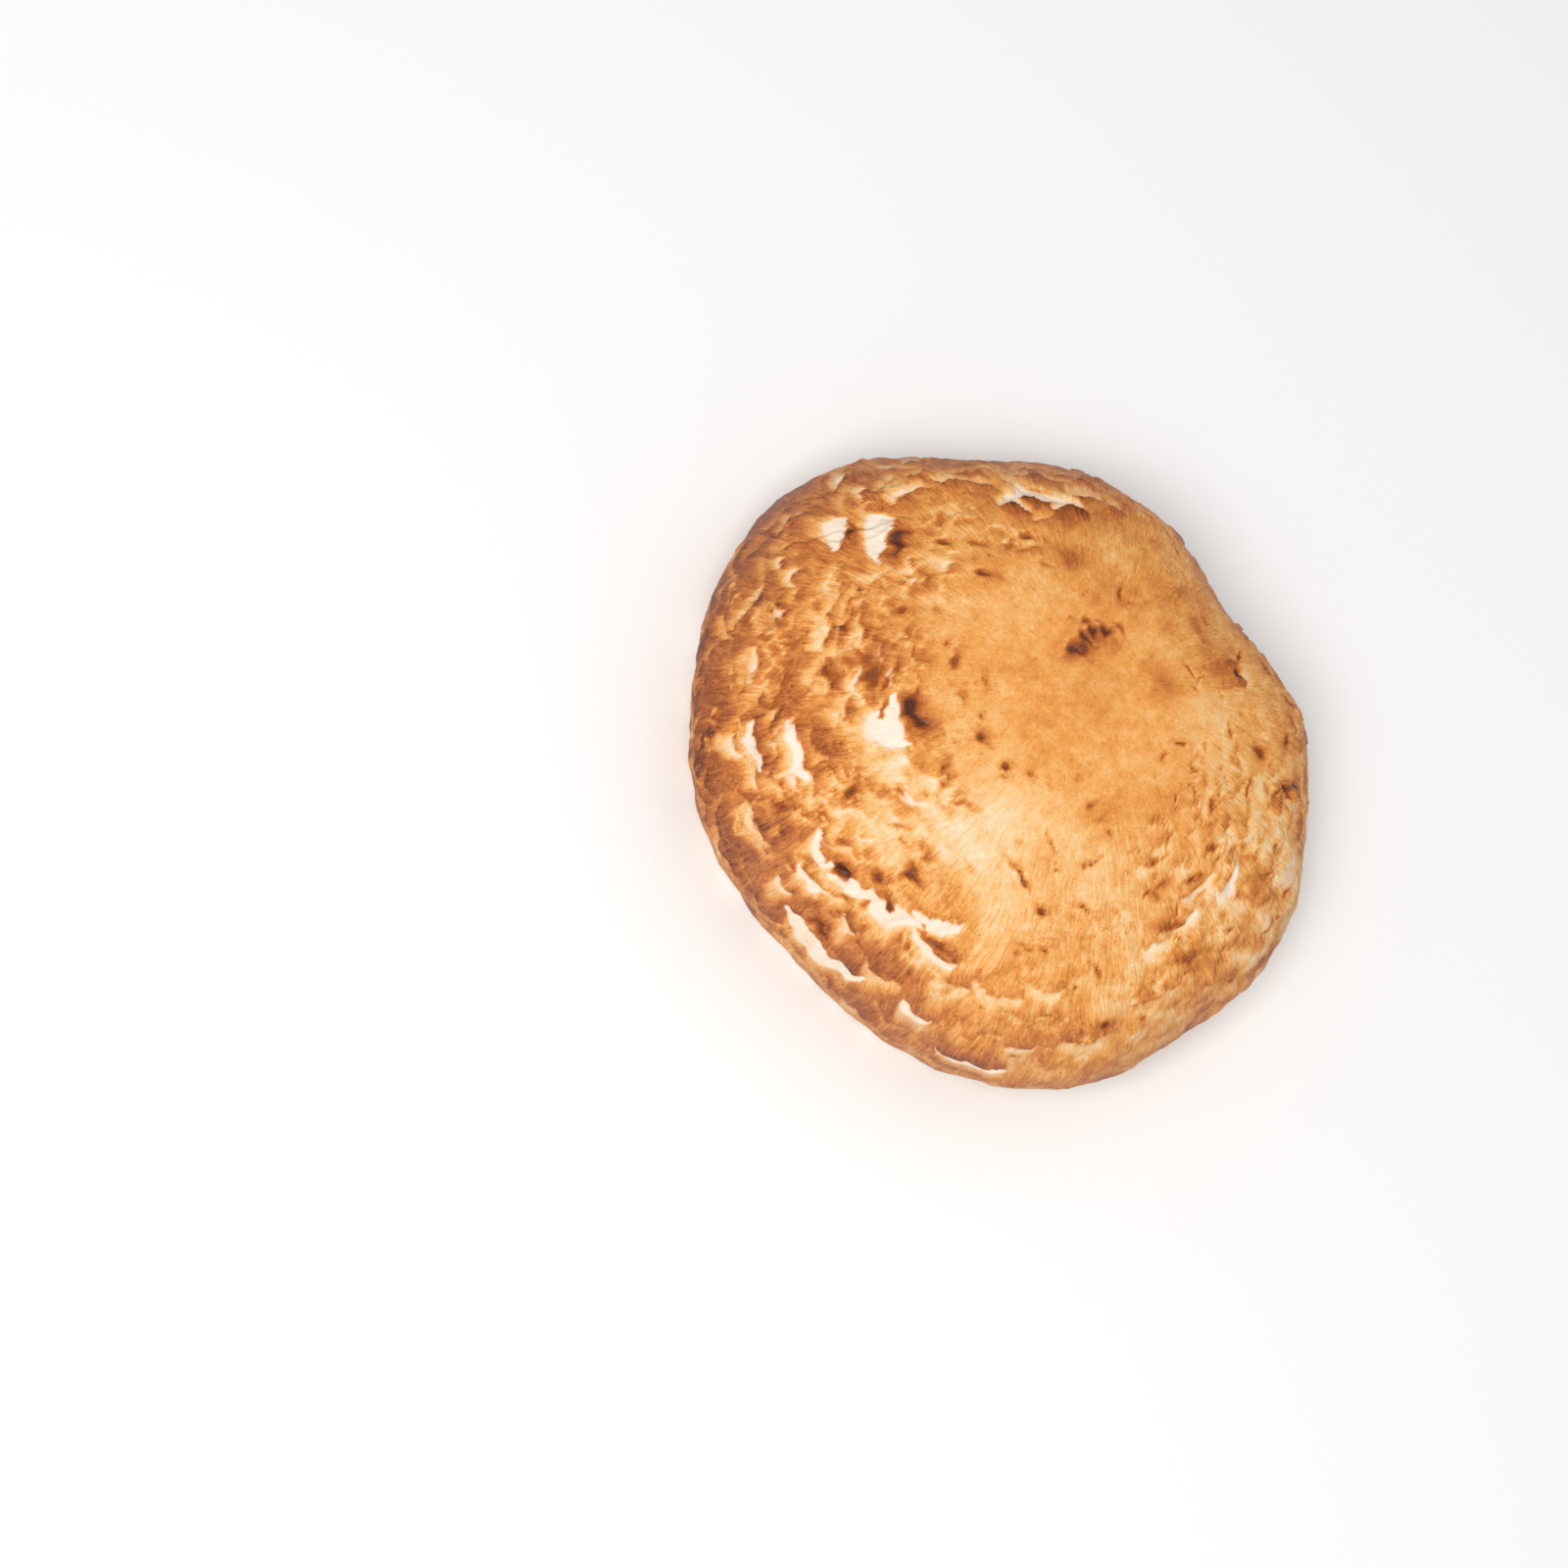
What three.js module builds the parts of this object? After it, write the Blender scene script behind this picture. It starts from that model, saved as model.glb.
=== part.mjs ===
// A portobello mushroom (Agaricus bisporus), picked, its stem trimmed, lying cap up on the rim of its cap.
// Three pieces grow together: the fleshy cap with its rolled rim, the ring of gills under it, and the stem.
// Millimetres, +Z up. The origin is under the middle of the cap, on the surface that the rim lies on.
import * as THREE from "three";

// Driving dimensions, in millimetres.
const CAP_HEIGHT = 38;
const WIDEST_HEIGHT = 11.5; // where the cap is broadest, above the surface it lies on
const DOME_SQUARENESS = 2.6; // exponent of the dome's profile: 2 is an ellipse, more is a flatter top
const RIM_INSET = 12; // from the broadest line in to where the gills begin
const FLESH_UNDERSIDE = 21; // height of the flesh's underside in the middle
const GILL_OUTER_HEIGHT = 11; // the same underside where it meets the rim
const GILL_LAYER = 1.4; // the layer that the gills hang from
const GILL_FREE_RADIUS = 16.5; // the gills stop short of the stem
const GILL_EDGE_INNER_HEIGHT = 10.5; // the gills' free edges, by the stem
const GILL_EDGE_OUTER_HEIGHT = 8.8; // and by the rim
const SHALLOWEST_GILL = 0.2;
const GILL_THICKNESS = 0.9;
const STEM_RADIUS = 13.5;
const STEM_CUT_HEIGHT = 2.5; // the trimmed end, clear of the surface
const GROWN_JOINT_GAP = 0.3; // between pieces that grow together

// The cap grew lopsided: its edge is this far from the stem's axis, one value every 22.5 degrees from +X
// towards +Y.
const EDGE_RADII = [48.5, 42.5, 41.5, 45.5, 48.5, 52, 62.5, 67.5, 69, 70.5, 68.5, 70.5, 70, 64, 60.5, 52.5];

const CAP_SEGMENTS = 72;
const DOME_ROWS = 11;
const UNDERSIDE_SHARES = [1, 0.96, 0.88, 0.7, 0.4, 0]; // from the rim in to the gills' inner ends
const GILL_COUNT = 54;
const TURN = 2 * Math.PI;

/** Distance from the stem's axis to the cap's edge at a bearing in radians: a cubic through EDGE_RADII. */
function edgeRadius(bearing) {
  const count = EDGE_RADII.length;
  const at = (((bearing / TURN) % 1) + 1) * count;
  const first = Math.floor(at);
  const t = at - first;
  const [a, b, c, d] = [-1, 0, 1, 2].map((step) => EDGE_RADII[(first + step + count) % count]);
  return b + 0.5 * t * (c - a + t * (2 * a - 5 * b + 4 * c - d + t * (3 * b - a - 3 * c + d)));
}

/** How far the wavy rim lifts off the surface at a bearing. It lies on the surface along the arcs where this is 0. */
function rimLift(bearing) {
  const wave = Math.sin(3 * bearing + 0.6) + 0.7 * Math.sin(5 * bearing + 2.1) - 0.15;
  return 1.3 * Math.max(0, wave);
}

/** A station is one point of the cross-section: at a bearing it lies share * edgeRadius - inset from the axis. */
function station(share, inset, height, liftShare = 0) {
  return { share, inset, height, liftShare };
}

/** The dome's stations, from just off the top to the broadest line: |r/R|^DOME_SQUARENESS + z'^2 = 1. */
function domeStations() {
  return Array.from({ length: DOME_ROWS }, (_, row) => {
    const angle = ((row + 1) / DOME_ROWS) * (Math.PI / 2);
    const share = Math.pow(Math.sin(angle), 2 / DOME_SQUARENESS);
    return station(share, 0, WIDEST_HEIGHT + (CAP_HEIGHT - WIDEST_HEIGHT) * Math.cos(angle));
  });
}

/** Where a station lies at a bearing, as [x, y, z]. */
function place({ share, inset, height, liftShare }, bearing) {
  const radius = share * edgeRadius(bearing) - inset;
  return [radius * Math.cos(bearing), radius * Math.sin(bearing), height + liftShare * rimLift(bearing)];
}

/** Distance from the stem's axis at a share of the way from the gills' inner ends to the gills' outer ends. */
function gillReach(share, bearing) {
  return GILL_FREE_RADIUS + share * (edgeRadius(bearing) - RIM_INSET - GILL_FREE_RADIUS);
}

/** Height of the flesh's underside at the same share: level by the stem, steep by the rim. */
function fleshUnderside(share) {
  return GILL_OUTER_HEIGHT + (FLESH_UNDERSIDE - GILL_OUTER_HEIGHT) * Math.sqrt(1 - Math.pow(share, 4));
}

/** Height of the gills' free edges at the same share. */
function gillEdgeHeight(share) {
  return GILL_EDGE_INNER_HEIGHT + (GILL_EDGE_OUTER_HEIGHT - GILL_EDGE_INNER_HEIGHT) * share * share;
}

/** A closed surface from rings of equal length: each ring is joined to the next, and both ends are fanned. */
function ringsToGeometry(rings, firstPole, lastPole) {
  const columns = rings[0].length;
  const positions = [firstPole, ...rings.flat(), lastPole].flat();
  const lastIndex = rings.length * columns + 1;
  const vertex = (row, column) => 1 + row * columns + (column % columns);
  const faces = [];
  for (let column = 0; column < columns; column += 1) {
    faces.push(0, vertex(0, column), vertex(0, column + 1));
    for (let row = 0; row < rings.length - 1; row += 1) {
      const [a, b] = [vertex(row, column), vertex(row, column + 1)];
      const [c, d] = [vertex(row + 1, column), vertex(row + 1, column + 1)];
      faces.push(a, c, b, b, c, d);
    }
    faces.push(vertex(rings.length - 1, column), lastIndex, vertex(rings.length - 1, column + 1));
  }
  return geometryOf(positions, faces);
}

/** A closed ring-shaped surface: the rings are joined one to the next and the last to the first. */
function loopsToGeometry(rings) {
  const columns = rings[0].length;
  const vertex = (row, column) => (row % rings.length) * columns + (column % columns);
  const faces = [];
  for (let column = 0; column < columns; column += 1) {
    for (let row = 0; row < rings.length; row += 1) {
      const [a, b] = [vertex(row, column), vertex(row, column + 1)];
      const [c, d] = [vertex(row + 1, column), vertex(row + 1, column + 1)];
      faces.push(a, c, b, b, c, d);
    }
  }
  return geometryOf(rings.flat(2), faces);
}

function geometryOf(positions, faces) {
  const geometry = new THREE.BufferGeometry();
  geometry.setAttribute("position", new THREE.Float32BufferAttribute(positions, 3));
  geometry.setIndex(faces);
  geometry.computeVertexNormals();
  return geometry;
}

/** The cap: dome, rim rolled under to a lip that lies on the surface, and the flesh's underside. */
function capGeometry() {
  const roll = [
    station(1, 0.7, 7.2, 0.3),
    station(1, 2.4, 3.2, 0.8),
    station(1, 4.6, 0, 1),
    station(1, 7, 0, 1),
    station(1, 9.6, 3, 0.8),
    station(1, RIM_INSET - 0.6, 7.5, 0.3),
  ];
  const bearings = Array.from({ length: CAP_SEGMENTS }, (_, column) => (column / CAP_SEGMENTS) * TURN);
  const outside = [...domeStations(), ...roll].map((point) => bearings.map((bearing) => place(point, bearing)));
  const underside = UNDERSIDE_SHARES.map((share) =>
    bearings.map((bearing) => {
      const radius = gillReach(share, bearing);
      return [radius * Math.cos(bearing), radius * Math.sin(bearing), fleshUnderside(share)];
    }),
  );
  return ringsToGeometry([...outside, ...underside], [0, 0, CAP_HEIGHT], [0, 0, FLESH_UNDERSIDE]);
}

/** The gills: thin blades that hang from one layer and run from the stem out to the rim, some 10 mm deep. */
function gillsGeometry() {
  const gillBearings = Array.from({ length: GILL_COUNT }, (_, gill) => (gill / GILL_COUNT) * TURN);
  // Each blade takes four columns: its root's two sides and, between them, its free edge's two sides.
  const columns = [
    { across: -0.55 * GILL_THICKNESS, onBlade: false },
    { across: -0.35 * GILL_THICKNESS, onBlade: true },
    { across: 0.35 * GILL_THICKNESS, onBlade: true },
    { across: 0.55 * GILL_THICKNESS, onBlade: false },
  ];

  const ring = (share, heightOf) =>
    gillBearings.flatMap((bearing) => {
      const radius = gillReach(share, bearing) - 2.5 * GROWN_JOINT_GAP * share;
      const [x, y] = [Math.cos(bearing), Math.sin(bearing)];
      return columns.map(({ across, onBlade }) => [
        radius * x - across * y,
        radius * y + across * x,
        heightOf(onBlade),
      ]);
    });

  const shares = [...UNDERSIDE_SHARES].reverse();
  const layerTop = (share) => fleshUnderside(share) - 1.5 * GROWN_JOINT_GAP;
  const layerFoot = (share) => layerTop(share) - GILL_LAYER;
  const top = shares.map((share) => ring(share, () => layerTop(share)));
  const bottom = shares.map((share) =>
    ring(share, (onBlade) =>
      onBlade ? Math.min(gillEdgeHeight(share), layerFoot(share) - SHALLOWEST_GILL) : layerFoot(share),
    ),
  );
  return loopsToGeometry([...top, ...bottom.reverse()]);
}

/** The stem: a stub, a little waisted and oval, trimmed flat at its lower end. */
function stemGeometry() {
  const top = FLESH_UNDERSIDE - GROWN_JOINT_GAP;
  const waist = new THREE.CatmullRomCurve3([
    new THREE.Vector3(STEM_RADIUS, STEM_CUT_HEIGHT + 0.5, 0),
    new THREE.Vector3(STEM_RADIUS - 0.4, 8, 0),
    new THREE.Vector3(STEM_RADIUS - 0.2, 14, 0),
    new THREE.Vector3(STEM_RADIUS + 0.9, top, 0),
  ]);
  const profile = [
    new THREE.Vector2(0, STEM_CUT_HEIGHT),
    new THREE.Vector2(STEM_RADIUS - 0.5, STEM_CUT_HEIGHT),
    ...waist.getPoints(7).map((point) => new THREE.Vector2(point.x, point.y)),
    new THREE.Vector2(0, top),
  ];
  const ovalness = 1.05;
  return new THREE.LatheGeometry(profile, 40).rotateX(Math.PI / 2).scale(ovalness, 1 / ovalness, 1);
}

function piece(name, geometry, colour, roughness) {
  const mesh = new THREE.Mesh(
    geometry,
    new THREE.MeshStandardMaterial({ color: new THREE.Color(colour), roughness, metalness: 0 }),
  );
  mesh.name = name;
  return mesh;
}

/** The mushroom, moved so that the middle of the cap's outline is over the origin. */
function mushroom() {
  const cap = piece("cap", capGeometry(), "#d9a067", 0.6);
  const gills = piece("gills", gillsGeometry(), "#3c2620", 0.8);
  const stem = piece("stem", stemGeometry(), "#d8ac86", 0.7);
  const group = new THREE.Group();
  group.name = "portobello_mushroom";
  group.add(cap, gills, stem);
  cap.geometry.computeBoundingBox();
  const middle = cap.geometry.boundingBox.getCenter(new THREE.Vector3());
  group.position.set(-middle.x, -middle.y, 0);
  return group;
}

export default mushroom();
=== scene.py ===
"""A portobello mushroom lying cap up on its rim: torn scaly cap, dark gills and a trimmed stem."""
import logging
import math
from dataclasses import dataclass, field
from enum import Enum
from functools import cached_property
from typing import Iterable, Sequence

import bpy
import numpy as np
from mathutils import Matrix, Vector


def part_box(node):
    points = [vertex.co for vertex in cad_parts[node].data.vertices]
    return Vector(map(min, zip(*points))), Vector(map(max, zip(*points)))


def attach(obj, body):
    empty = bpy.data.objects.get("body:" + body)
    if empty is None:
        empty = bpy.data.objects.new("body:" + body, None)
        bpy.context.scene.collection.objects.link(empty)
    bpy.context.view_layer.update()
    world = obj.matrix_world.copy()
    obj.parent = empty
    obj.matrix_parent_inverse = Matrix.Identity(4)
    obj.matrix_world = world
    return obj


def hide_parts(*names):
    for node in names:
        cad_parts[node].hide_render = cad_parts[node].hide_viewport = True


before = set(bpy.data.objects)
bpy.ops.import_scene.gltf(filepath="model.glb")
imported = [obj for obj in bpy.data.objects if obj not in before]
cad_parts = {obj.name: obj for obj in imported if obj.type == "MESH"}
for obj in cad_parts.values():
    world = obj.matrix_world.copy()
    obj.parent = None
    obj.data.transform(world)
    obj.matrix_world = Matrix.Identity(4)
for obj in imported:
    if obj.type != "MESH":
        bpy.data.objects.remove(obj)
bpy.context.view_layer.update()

LOG = logging.getLogger("portobello")
MM = 0.001
TURN = 2 * math.pi
Array = np.ndarray
Colour = tuple[float, float, float, float]


def srgb(red: int, green: int, blue: int) -> Colour:
    """Turns a display colour into the linear colour that shaders use.

    Args:
        red: Red from 0 to 255.
        green: Green from 0 to 255.
        blue: Blue from 0 to 255.

    Returns:
        The linear colour with an alpha of 1.
    """
    parts = [value / 255 for value in (red, green, blue)]
    linear = [p / 12.92 if p <= 0.04045 else ((p + 0.055) / 1.055) ** 2.4 for p in parts]
    return (linear[0], linear[1], linear[2], 1.0)


def smooth(low: float | Array, high: float | Array, value: Array) -> Array:
    """Rises from 0 at low to 1 at high along the cubic 3t^2 - 2t^3."""
    t = np.clip((value - low) / (high - low), 0.0, 1.0)
    return t * t * (3 - 2 * t)


def turned(bearing: Array, start: float) -> Array:
    """Angle from start to each bearing, between minus and plus half a turn."""
    return np.mod(bearing - start + math.pi, TURN) - math.pi


def periodic_curve(values: Sequence[float], bearing: Array) -> Array:
    """Reads a Catmull-Rom cubic through values set evenly round a full turn.

    Args:
        values: The curve's values, the first at bearing 0.
        bearing: Bearings in radians.

    Returns:
        The curve's value at each bearing.
    """
    knots = np.asarray(values, dtype=float)
    place = np.mod(bearing / TURN, 1.0) * len(knots)
    first = np.floor(place).astype(int)
    t = place - first
    a, b, c, d = (knots[(first + step) % len(knots)] for step in (-1, 0, 1, 2))
    return b + 0.5 * t * (c - a + t * (2 * a - 5 * b + 4 * c - d + t * (3 * b - a - 3 * c + d)))


class Noise:
    """Smooth seeded noise between -1 and 1, worked out on whole arrays."""

    def __init__(self, seed: int) -> None:
        """Keeps the seed that picks this noise's pattern."""
        self.seed = seed

    def _corner(self, x: Array, y: Array, z: Array) -> Array:
        """Mixes whole-number corners into repeatable values between -1 and 1."""
        mixed = x * 374761393 + y * 668265263 + z * 1274126177 + self.seed * 974634777
        mixed = mixed & 0xFFFFFFFF
        mixed = ((mixed ^ (mixed >> 13)) * 1274126177) & 0xFFFFFFFF
        mixed = ((mixed ^ (mixed >> 15)) * 668265263) & 0xFFFFFFFF
        return (mixed ^ (mixed >> 16)) / 0x7FFFFFFF - 1.0

    def at(self, x: Array, y: Array | float = 0.0, z: Array | float = 0.0) -> Array:
        """Blends the eight corner values round each point with smooth weights.

        Args:
            x: First coordinate, in cells.
            y: Second coordinate, in cells.
            z: Third coordinate, in cells.

        Returns:
            The noise at each point.
        """
        x, y, z = np.broadcast_arrays(x, y, z)
        cells = [np.floor(axis).astype(np.int64) for axis in (x, y, z)]
        parts = [axis - cell for axis, cell in zip((x, y, z), cells)]
        eased = [part * part * (3 - 2 * part) for part in parts]
        total = np.zeros(x.shape)
        for corner in range(8):
            steps = [(corner >> axis) & 1 for axis in range(3)]
            weight = np.ones(x.shape)
            for step, ease in zip(steps, eased):
                weight = weight * (ease if step else 1 - ease)
            total += weight * self._corner(*(cell + step for cell, step in zip(cells, steps)))
        return total

    def layered(self, x: Array, y: Array | float = 0.0, z: Array | float = 0.0, layers: int = 3) -> Array:
        """Adds layers of the noise, each twice as fine and half as strong as the one before."""
        total = np.zeros(np.broadcast(x, y, z).shape)
        for layer in range(layers):
            scale = 2.0**layer
            total += self.at(x * scale + 17.3 * layer, np.multiply(y, scale), np.multiply(z, scale)) / scale
        return total


# -------------------------------------------------------------------------------- shaders


class Value:
    """A shader socket that Python's operators work on, each adding a Math node."""

    def __init__(self, tree: bpy.types.NodeTree, socket: bpy.types.NodeSocket) -> None:
        """Wraps one output socket of a node tree."""
        self.tree = tree
        self.socket = socket

    def math(self, operation: str, *others: "Value | float", first: "Value | float | None" = None) -> "Value":
        """Adds a Math node.

        Args:
            operation: The node's operation.
            others: The inputs after the first.
            first: The first input, if it isn't this value.

        Returns:
            The node's result.
        """
        node = self.tree.nodes.new("ShaderNodeMath")
        node.operation = operation
        inputs = (self if first is None else first, *others)
        for slot, item in zip(node.inputs, inputs):
            if isinstance(item, Value):
                self.tree.links.new(item.socket, slot)
            else:
                slot.default_value = item
        return Value(self.tree, node.outputs[0])

    def __add__(self, other: "Value | float") -> "Value":
        """Adds a value or number."""
        return self.math("ADD", other)

    __radd__ = __add__

    def __sub__(self, other: "Value | float") -> "Value":
        """Takes a value or number away."""
        return self.math("SUBTRACT", other)

    def __rsub__(self, other: float) -> "Value":
        """Takes this value away from a number."""
        return self.math("SUBTRACT", self, first=other)

    def __mul__(self, other: "Value | float") -> "Value":
        """Multiplies by a value or number."""
        return self.math("MULTIPLY", other)

    __rmul__ = __mul__

    def __truediv__(self, other: "Value | float") -> "Value":
        """Divides by a value or number."""
        return self.math("DIVIDE", other)

    def clamp(self) -> "Value":
        """Keeps the value between 0 and 1."""
        return self.math("MINIMUM", 1.0).math("MAXIMUM", 0.0)

    def rise(self, low: float, high: float) -> "Value":
        """Maps low to 0 and high to 1 in a straight line, kept between the two."""
        return ((self - low) / (high - low)).clamp()


class Shader:
    """A material under construction: one principled surface and the nodes that feed it."""

    def __init__(self, name: str) -> None:
        """Starts an empty material with a principled surface."""
        self.material = bpy.data.materials.new(name)
        self.material.use_nodes = True
        self.tree = self.material.node_tree
        self.tree.nodes.clear()
        self.surface = self.tree.nodes.new("ShaderNodeBsdfPrincipled")
        output = self.tree.nodes.new("ShaderNodeOutputMaterial")
        self.tree.links.new(self.surface.outputs[0], output.inputs["Surface"])

    def feed(self, slot: bpy.types.NodeSocket, item: object) -> None:
        """Links a value to a socket, or sets the socket's own number or colour."""
        if isinstance(item, Value):
            self.tree.links.new(item.socket, slot)
        else:
            slot.default_value = item

    def node(
        self,
        kind: str,
        settings: dict[str, object] | None = None,
        inputs: dict[str | int, object] | None = None,
        output: str | int = 0,
    ) -> Value:
        """Adds any node: its settings first, then its sockets.

        Args:
            kind: The node's type.
            settings: Its settings by name. "stops" sets a colour ramp's stops as (place, colour).
            inputs: Values, numbers or colours by socket name or number.
            output: The output socket wanted.

        Returns:
            That output.
        """
        node = self.tree.nodes.new(kind)
        for key, setting in (settings or {}).items():
            if key == "stops":
                self._set_stops(node.color_ramp, setting)
            else:
                setattr(node, key, setting)
        for key, item in (inputs or {}).items():
            self.feed(node.inputs[key], item)
        return Value(self.tree, node.outputs[output])

    @staticmethod
    def _set_stops(ramp: bpy.types.ColorRamp, stops: Sequence[tuple[float, Colour]]) -> None:
        """Gives a ramp its stops, in order."""
        while len(ramp.elements) < len(stops):
            ramp.elements.new(1.0)
        for element, (place, colour) in zip(ramp.elements, stops):
            element.position = place
            element.color = colour

    def set(self, **constants: object) -> None:
        """Sets constants on the surface's own sockets, their names written with _ for a space."""
        for key, constant in constants.items():
            self.surface.inputs[key.replace("_", " ")].default_value = constant

    def drive(self, **values: Value) -> None:
        """Links varying values to the surface's sockets, their names written with _ for a space."""
        for key, value in values.items():
            self.tree.links.new(value.socket, self.surface.inputs[key.replace("_", " ")])

    def attribute(self, name: str) -> Value:
        """Reads one of the piece's own numbers, kept at its points."""
        return self.node("ShaderNodeAttribute", {"attribute_name": name}, output="Fac")

    def place(self) -> Value:
        """Reads object coordinates, in metres."""
        return self.node("ShaderNodeTexCoord", output="Object")

    def vector(self, operation: str, first: Value, second: object = (0, 0, 0), scale: object = 1.0) -> Value:
        """Adds a Vector Math node and returns its vector."""
        inputs: dict[str | int, object] = {0: first}
        if operation == "SCALE":
            inputs["Scale"] = scale
        elif operation != "NORMALIZE":
            inputs[1] = second
        return self.node("ShaderNodeVectorMath", {"operation": operation}, inputs)

    def noise(self, where: Value, scale: float, detail: float = 3.0, rough: float = 0.55) -> Value:
        """Reads noise centred on 0, about -0.5 to 0.5."""
        inputs = {"Vector": where, "Scale": scale, "Detail": detail, "Roughness": rough}
        return self.node("ShaderNodeTexNoise", None, inputs, "Fac") - 0.5

    def mix(self, base: object, top: object, factor: Value | float, blend: str = "MIX") -> Value:
        """Mixes two colours."""
        settings = {"data_type": "RGBA", "blend_type": blend, "clamp_factor": True}
        return self.node("ShaderNodeMix", settings, {0: factor, 6: base, 7: top}, 2)

    def ramp(self, factor: Value, stops: Sequence[tuple[float, Colour]]) -> Value:
        """Reads a colour ramp."""
        return self.node("ShaderNodeValToRGB", {"stops": stops}, {0: factor})

    def bump(self, height: Value, distance: float, strength: float = 1.0) -> Value:
        """Turns a height, in units of distance, into a normal."""
        inputs = {"Height": height, "Distance": distance, "Strength": strength}
        return self.node("ShaderNodeBump", None, inputs)


# -------------------------------------------------------------------------------- meshes


@dataclass
class Surface:
    """Points in millimetres, the faces between them and the numbers kept at each point."""

    points: Array
    quads: Array
    triangles: Array = field(default_factory=lambda: np.zeros((0, 3), dtype=int))
    numbers: dict[str, Array] = field(default_factory=dict)

    def normals(self) -> Array:
        """Averages the faces' normals at each point, weighted by area: half the diagonals' cross product."""
        total = np.zeros_like(self.points)
        corners = [self.points[self.quads[:, k]] for k in range(4)]
        across = np.cross(corners[2] - corners[0], corners[3] - corners[1])
        for k in range(4):
            np.add.at(total, self.quads[:, k], across)
        if len(self.triangles):
            a, b, c = (self.points[self.triangles[:, k]] for k in range(3))
            across = np.cross(b - a, c - a)
            for k in range(3):
                np.add.at(total, self.triangles[:, k], across)
        return total / np.maximum(np.linalg.norm(total, axis=1, keepdims=True), 1e-12)

    def to_piece(self, name: str, shader: Shader, replaces: str, slot: str) -> bpy.types.Object:
        """Makes the Blender piece, in metres, hangs it on the root body and hides the part that it stands
        for.

        Args:
            name: The piece's name.
            shader: Its material.
            replaces: The node that it stands for.
            slot: Not used.

        Returns:
            The piece.
        """
        mesh = bpy.data.meshes.new(name)
        mesh.from_pydata((self.points * MM).tolist(), [], self.quads.tolist() + self.triangles.tolist())
        for key, values in self.numbers.items():
            kept = mesh.attributes.new(key, "FLOAT", "POINT")
            kept.data.foreach_set("value", values.astype(np.float32))
        mesh.polygons.foreach_set("use_smooth", np.ones(len(mesh.polygons), dtype=bool))
        mesh.materials.append(shader.material)
        mesh.update()
        piece = bpy.data.objects.new(name, mesh)
        bpy.context.scene.collection.objects.link(piece)
        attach(piece, "root")
        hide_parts(replaces)
        triangles = 2 * len(self.quads) + len(self.triangles)
        LOG.info("%s: %d triangles", name, triangles)
        return piece


def bands(columns: int, rows: int, first: int = 0) -> Array:
    """Joins rows of points that each go once round into quads, each row to the next.

    Args:
        columns: Points in a row.
        rows: Number of rows.
        first: Number of the first row's first point.

    Returns:
        The quads. With rows that go down and columns counter-clockwise from above, they face outward.
    """
    row, column = np.meshgrid(np.arange(rows - 1), np.arange(columns), indexing="ij")
    after = (column + 1) % columns
    corners = [row * columns + column, (row + 1) * columns + column, (row + 1) * columns + after,
               row * columns + after]
    return first + np.stack(corners, axis=-1).reshape(-1, 4)


# -------------------------------------------------------------------------------- the cap's form


@dataclass(frozen=True)
class CapForm:
    """The mushroom's lopsided outline and the cross-section of cap, rim and flesh, in millimetres."""

    edge_radii: tuple[float, ...] = (
        48.5, 42.5, 41.5, 45.5, 48.5, 52.0, 62.5, 67.5, 69.0, 70.5, 68.5, 70.5, 70.0, 64.0, 60.5, 52.5,
    )
    skin_inset: float = 0.6
    crown_inset: float = 0.5
    widest_height: float = 11.5
    squareness: float = 2.6
    lip_inset: float = 5.8
    gill_inset: float = 12.0
    gill_outer_height: float = 11.0
    roof_height: float = 21.0
    gill_inner_radius: float = 16.5
    nominal_radius: float = 58.0
    fall: float = 12.0

    @cached_property
    def centre(self) -> Array:
        """The stem's axis, from the middle of the stem's box."""
        low, high = (np.array(corner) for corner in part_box("stem"))
        return (low + high)[:2] / 2 / MM

    @cached_property
    def top(self) -> float:
        """The height of the cap's crown."""
        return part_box("cap")[1][2] / MM - self.crown_inset

    def radius(self, bearing: Array) -> Array:
        """Distance from the stem's axis to the skin's broadest line."""
        return periodic_curve(self.edge_radii, bearing) - self.skin_inset

    @cached_property
    def dome(self) -> tuple[Array, Array, Array]:
        """The dome's section: share of the radius, height, and share of the way down the arc.

        The section is a superellipse, share^squareness + rise^2 = 1.

        Returns:
            The three as arrays that start at the crown.
        """
        angle = np.linspace(0.0, math.pi / 2, 2001)
        share = np.sin(angle) ** (2 / self.squareness)
        height = self.widest_height + (self.top - self.widest_height) * np.cos(angle)
        steps = np.hypot(np.diff(share * self.nominal_radius), np.diff(height))
        way = np.concatenate([[0.0], np.cumsum(steps)])
        return share, height, way / way[-1]

    def arc_length(self, bearing: Array) -> Array:
        """Length of the skin from the crown to the broadest line: the radius and the fall's extra."""
        return self.radius(bearing) + self.fall

    def way_at(self, share: float) -> float:
        """Share of the way down the arc at a share of the radius."""
        shares, _, ways = self.dome
        return float(np.interp(share, shares, ways))

    def lift(self, bearing: Array) -> Array:
        """How far the wavy rim lifts off the surface: the part of two summed sines above a threshold."""
        wave = np.sin(3 * bearing + 0.6) + 0.7 * np.sin(5 * bearing + 2.1) - 0.15
        return 1.3 * np.maximum(0.0, wave)

    def roof(self, share: Array) -> Array:
        """Height of the flesh over the gills, from their inner ends at 0 to their outer ends at 1."""
        return self.gill_outer_height + (self.roof_height - self.gill_outer_height) * np.sqrt(
            1 - np.clip(share, 0, 1) ** 4
        )

    def gill_reach(self, share: Array, bearing: Array) -> Array:
        """Distance from the stem's axis at a share of the way along the gills."""
        outer = periodic_curve(self.edge_radii, bearing) - self.gill_inset
        return self.gill_inner_radius + share * (outer - self.gill_inner_radius)


# -------------------------------------------------------------------------------- marks on the skin


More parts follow.
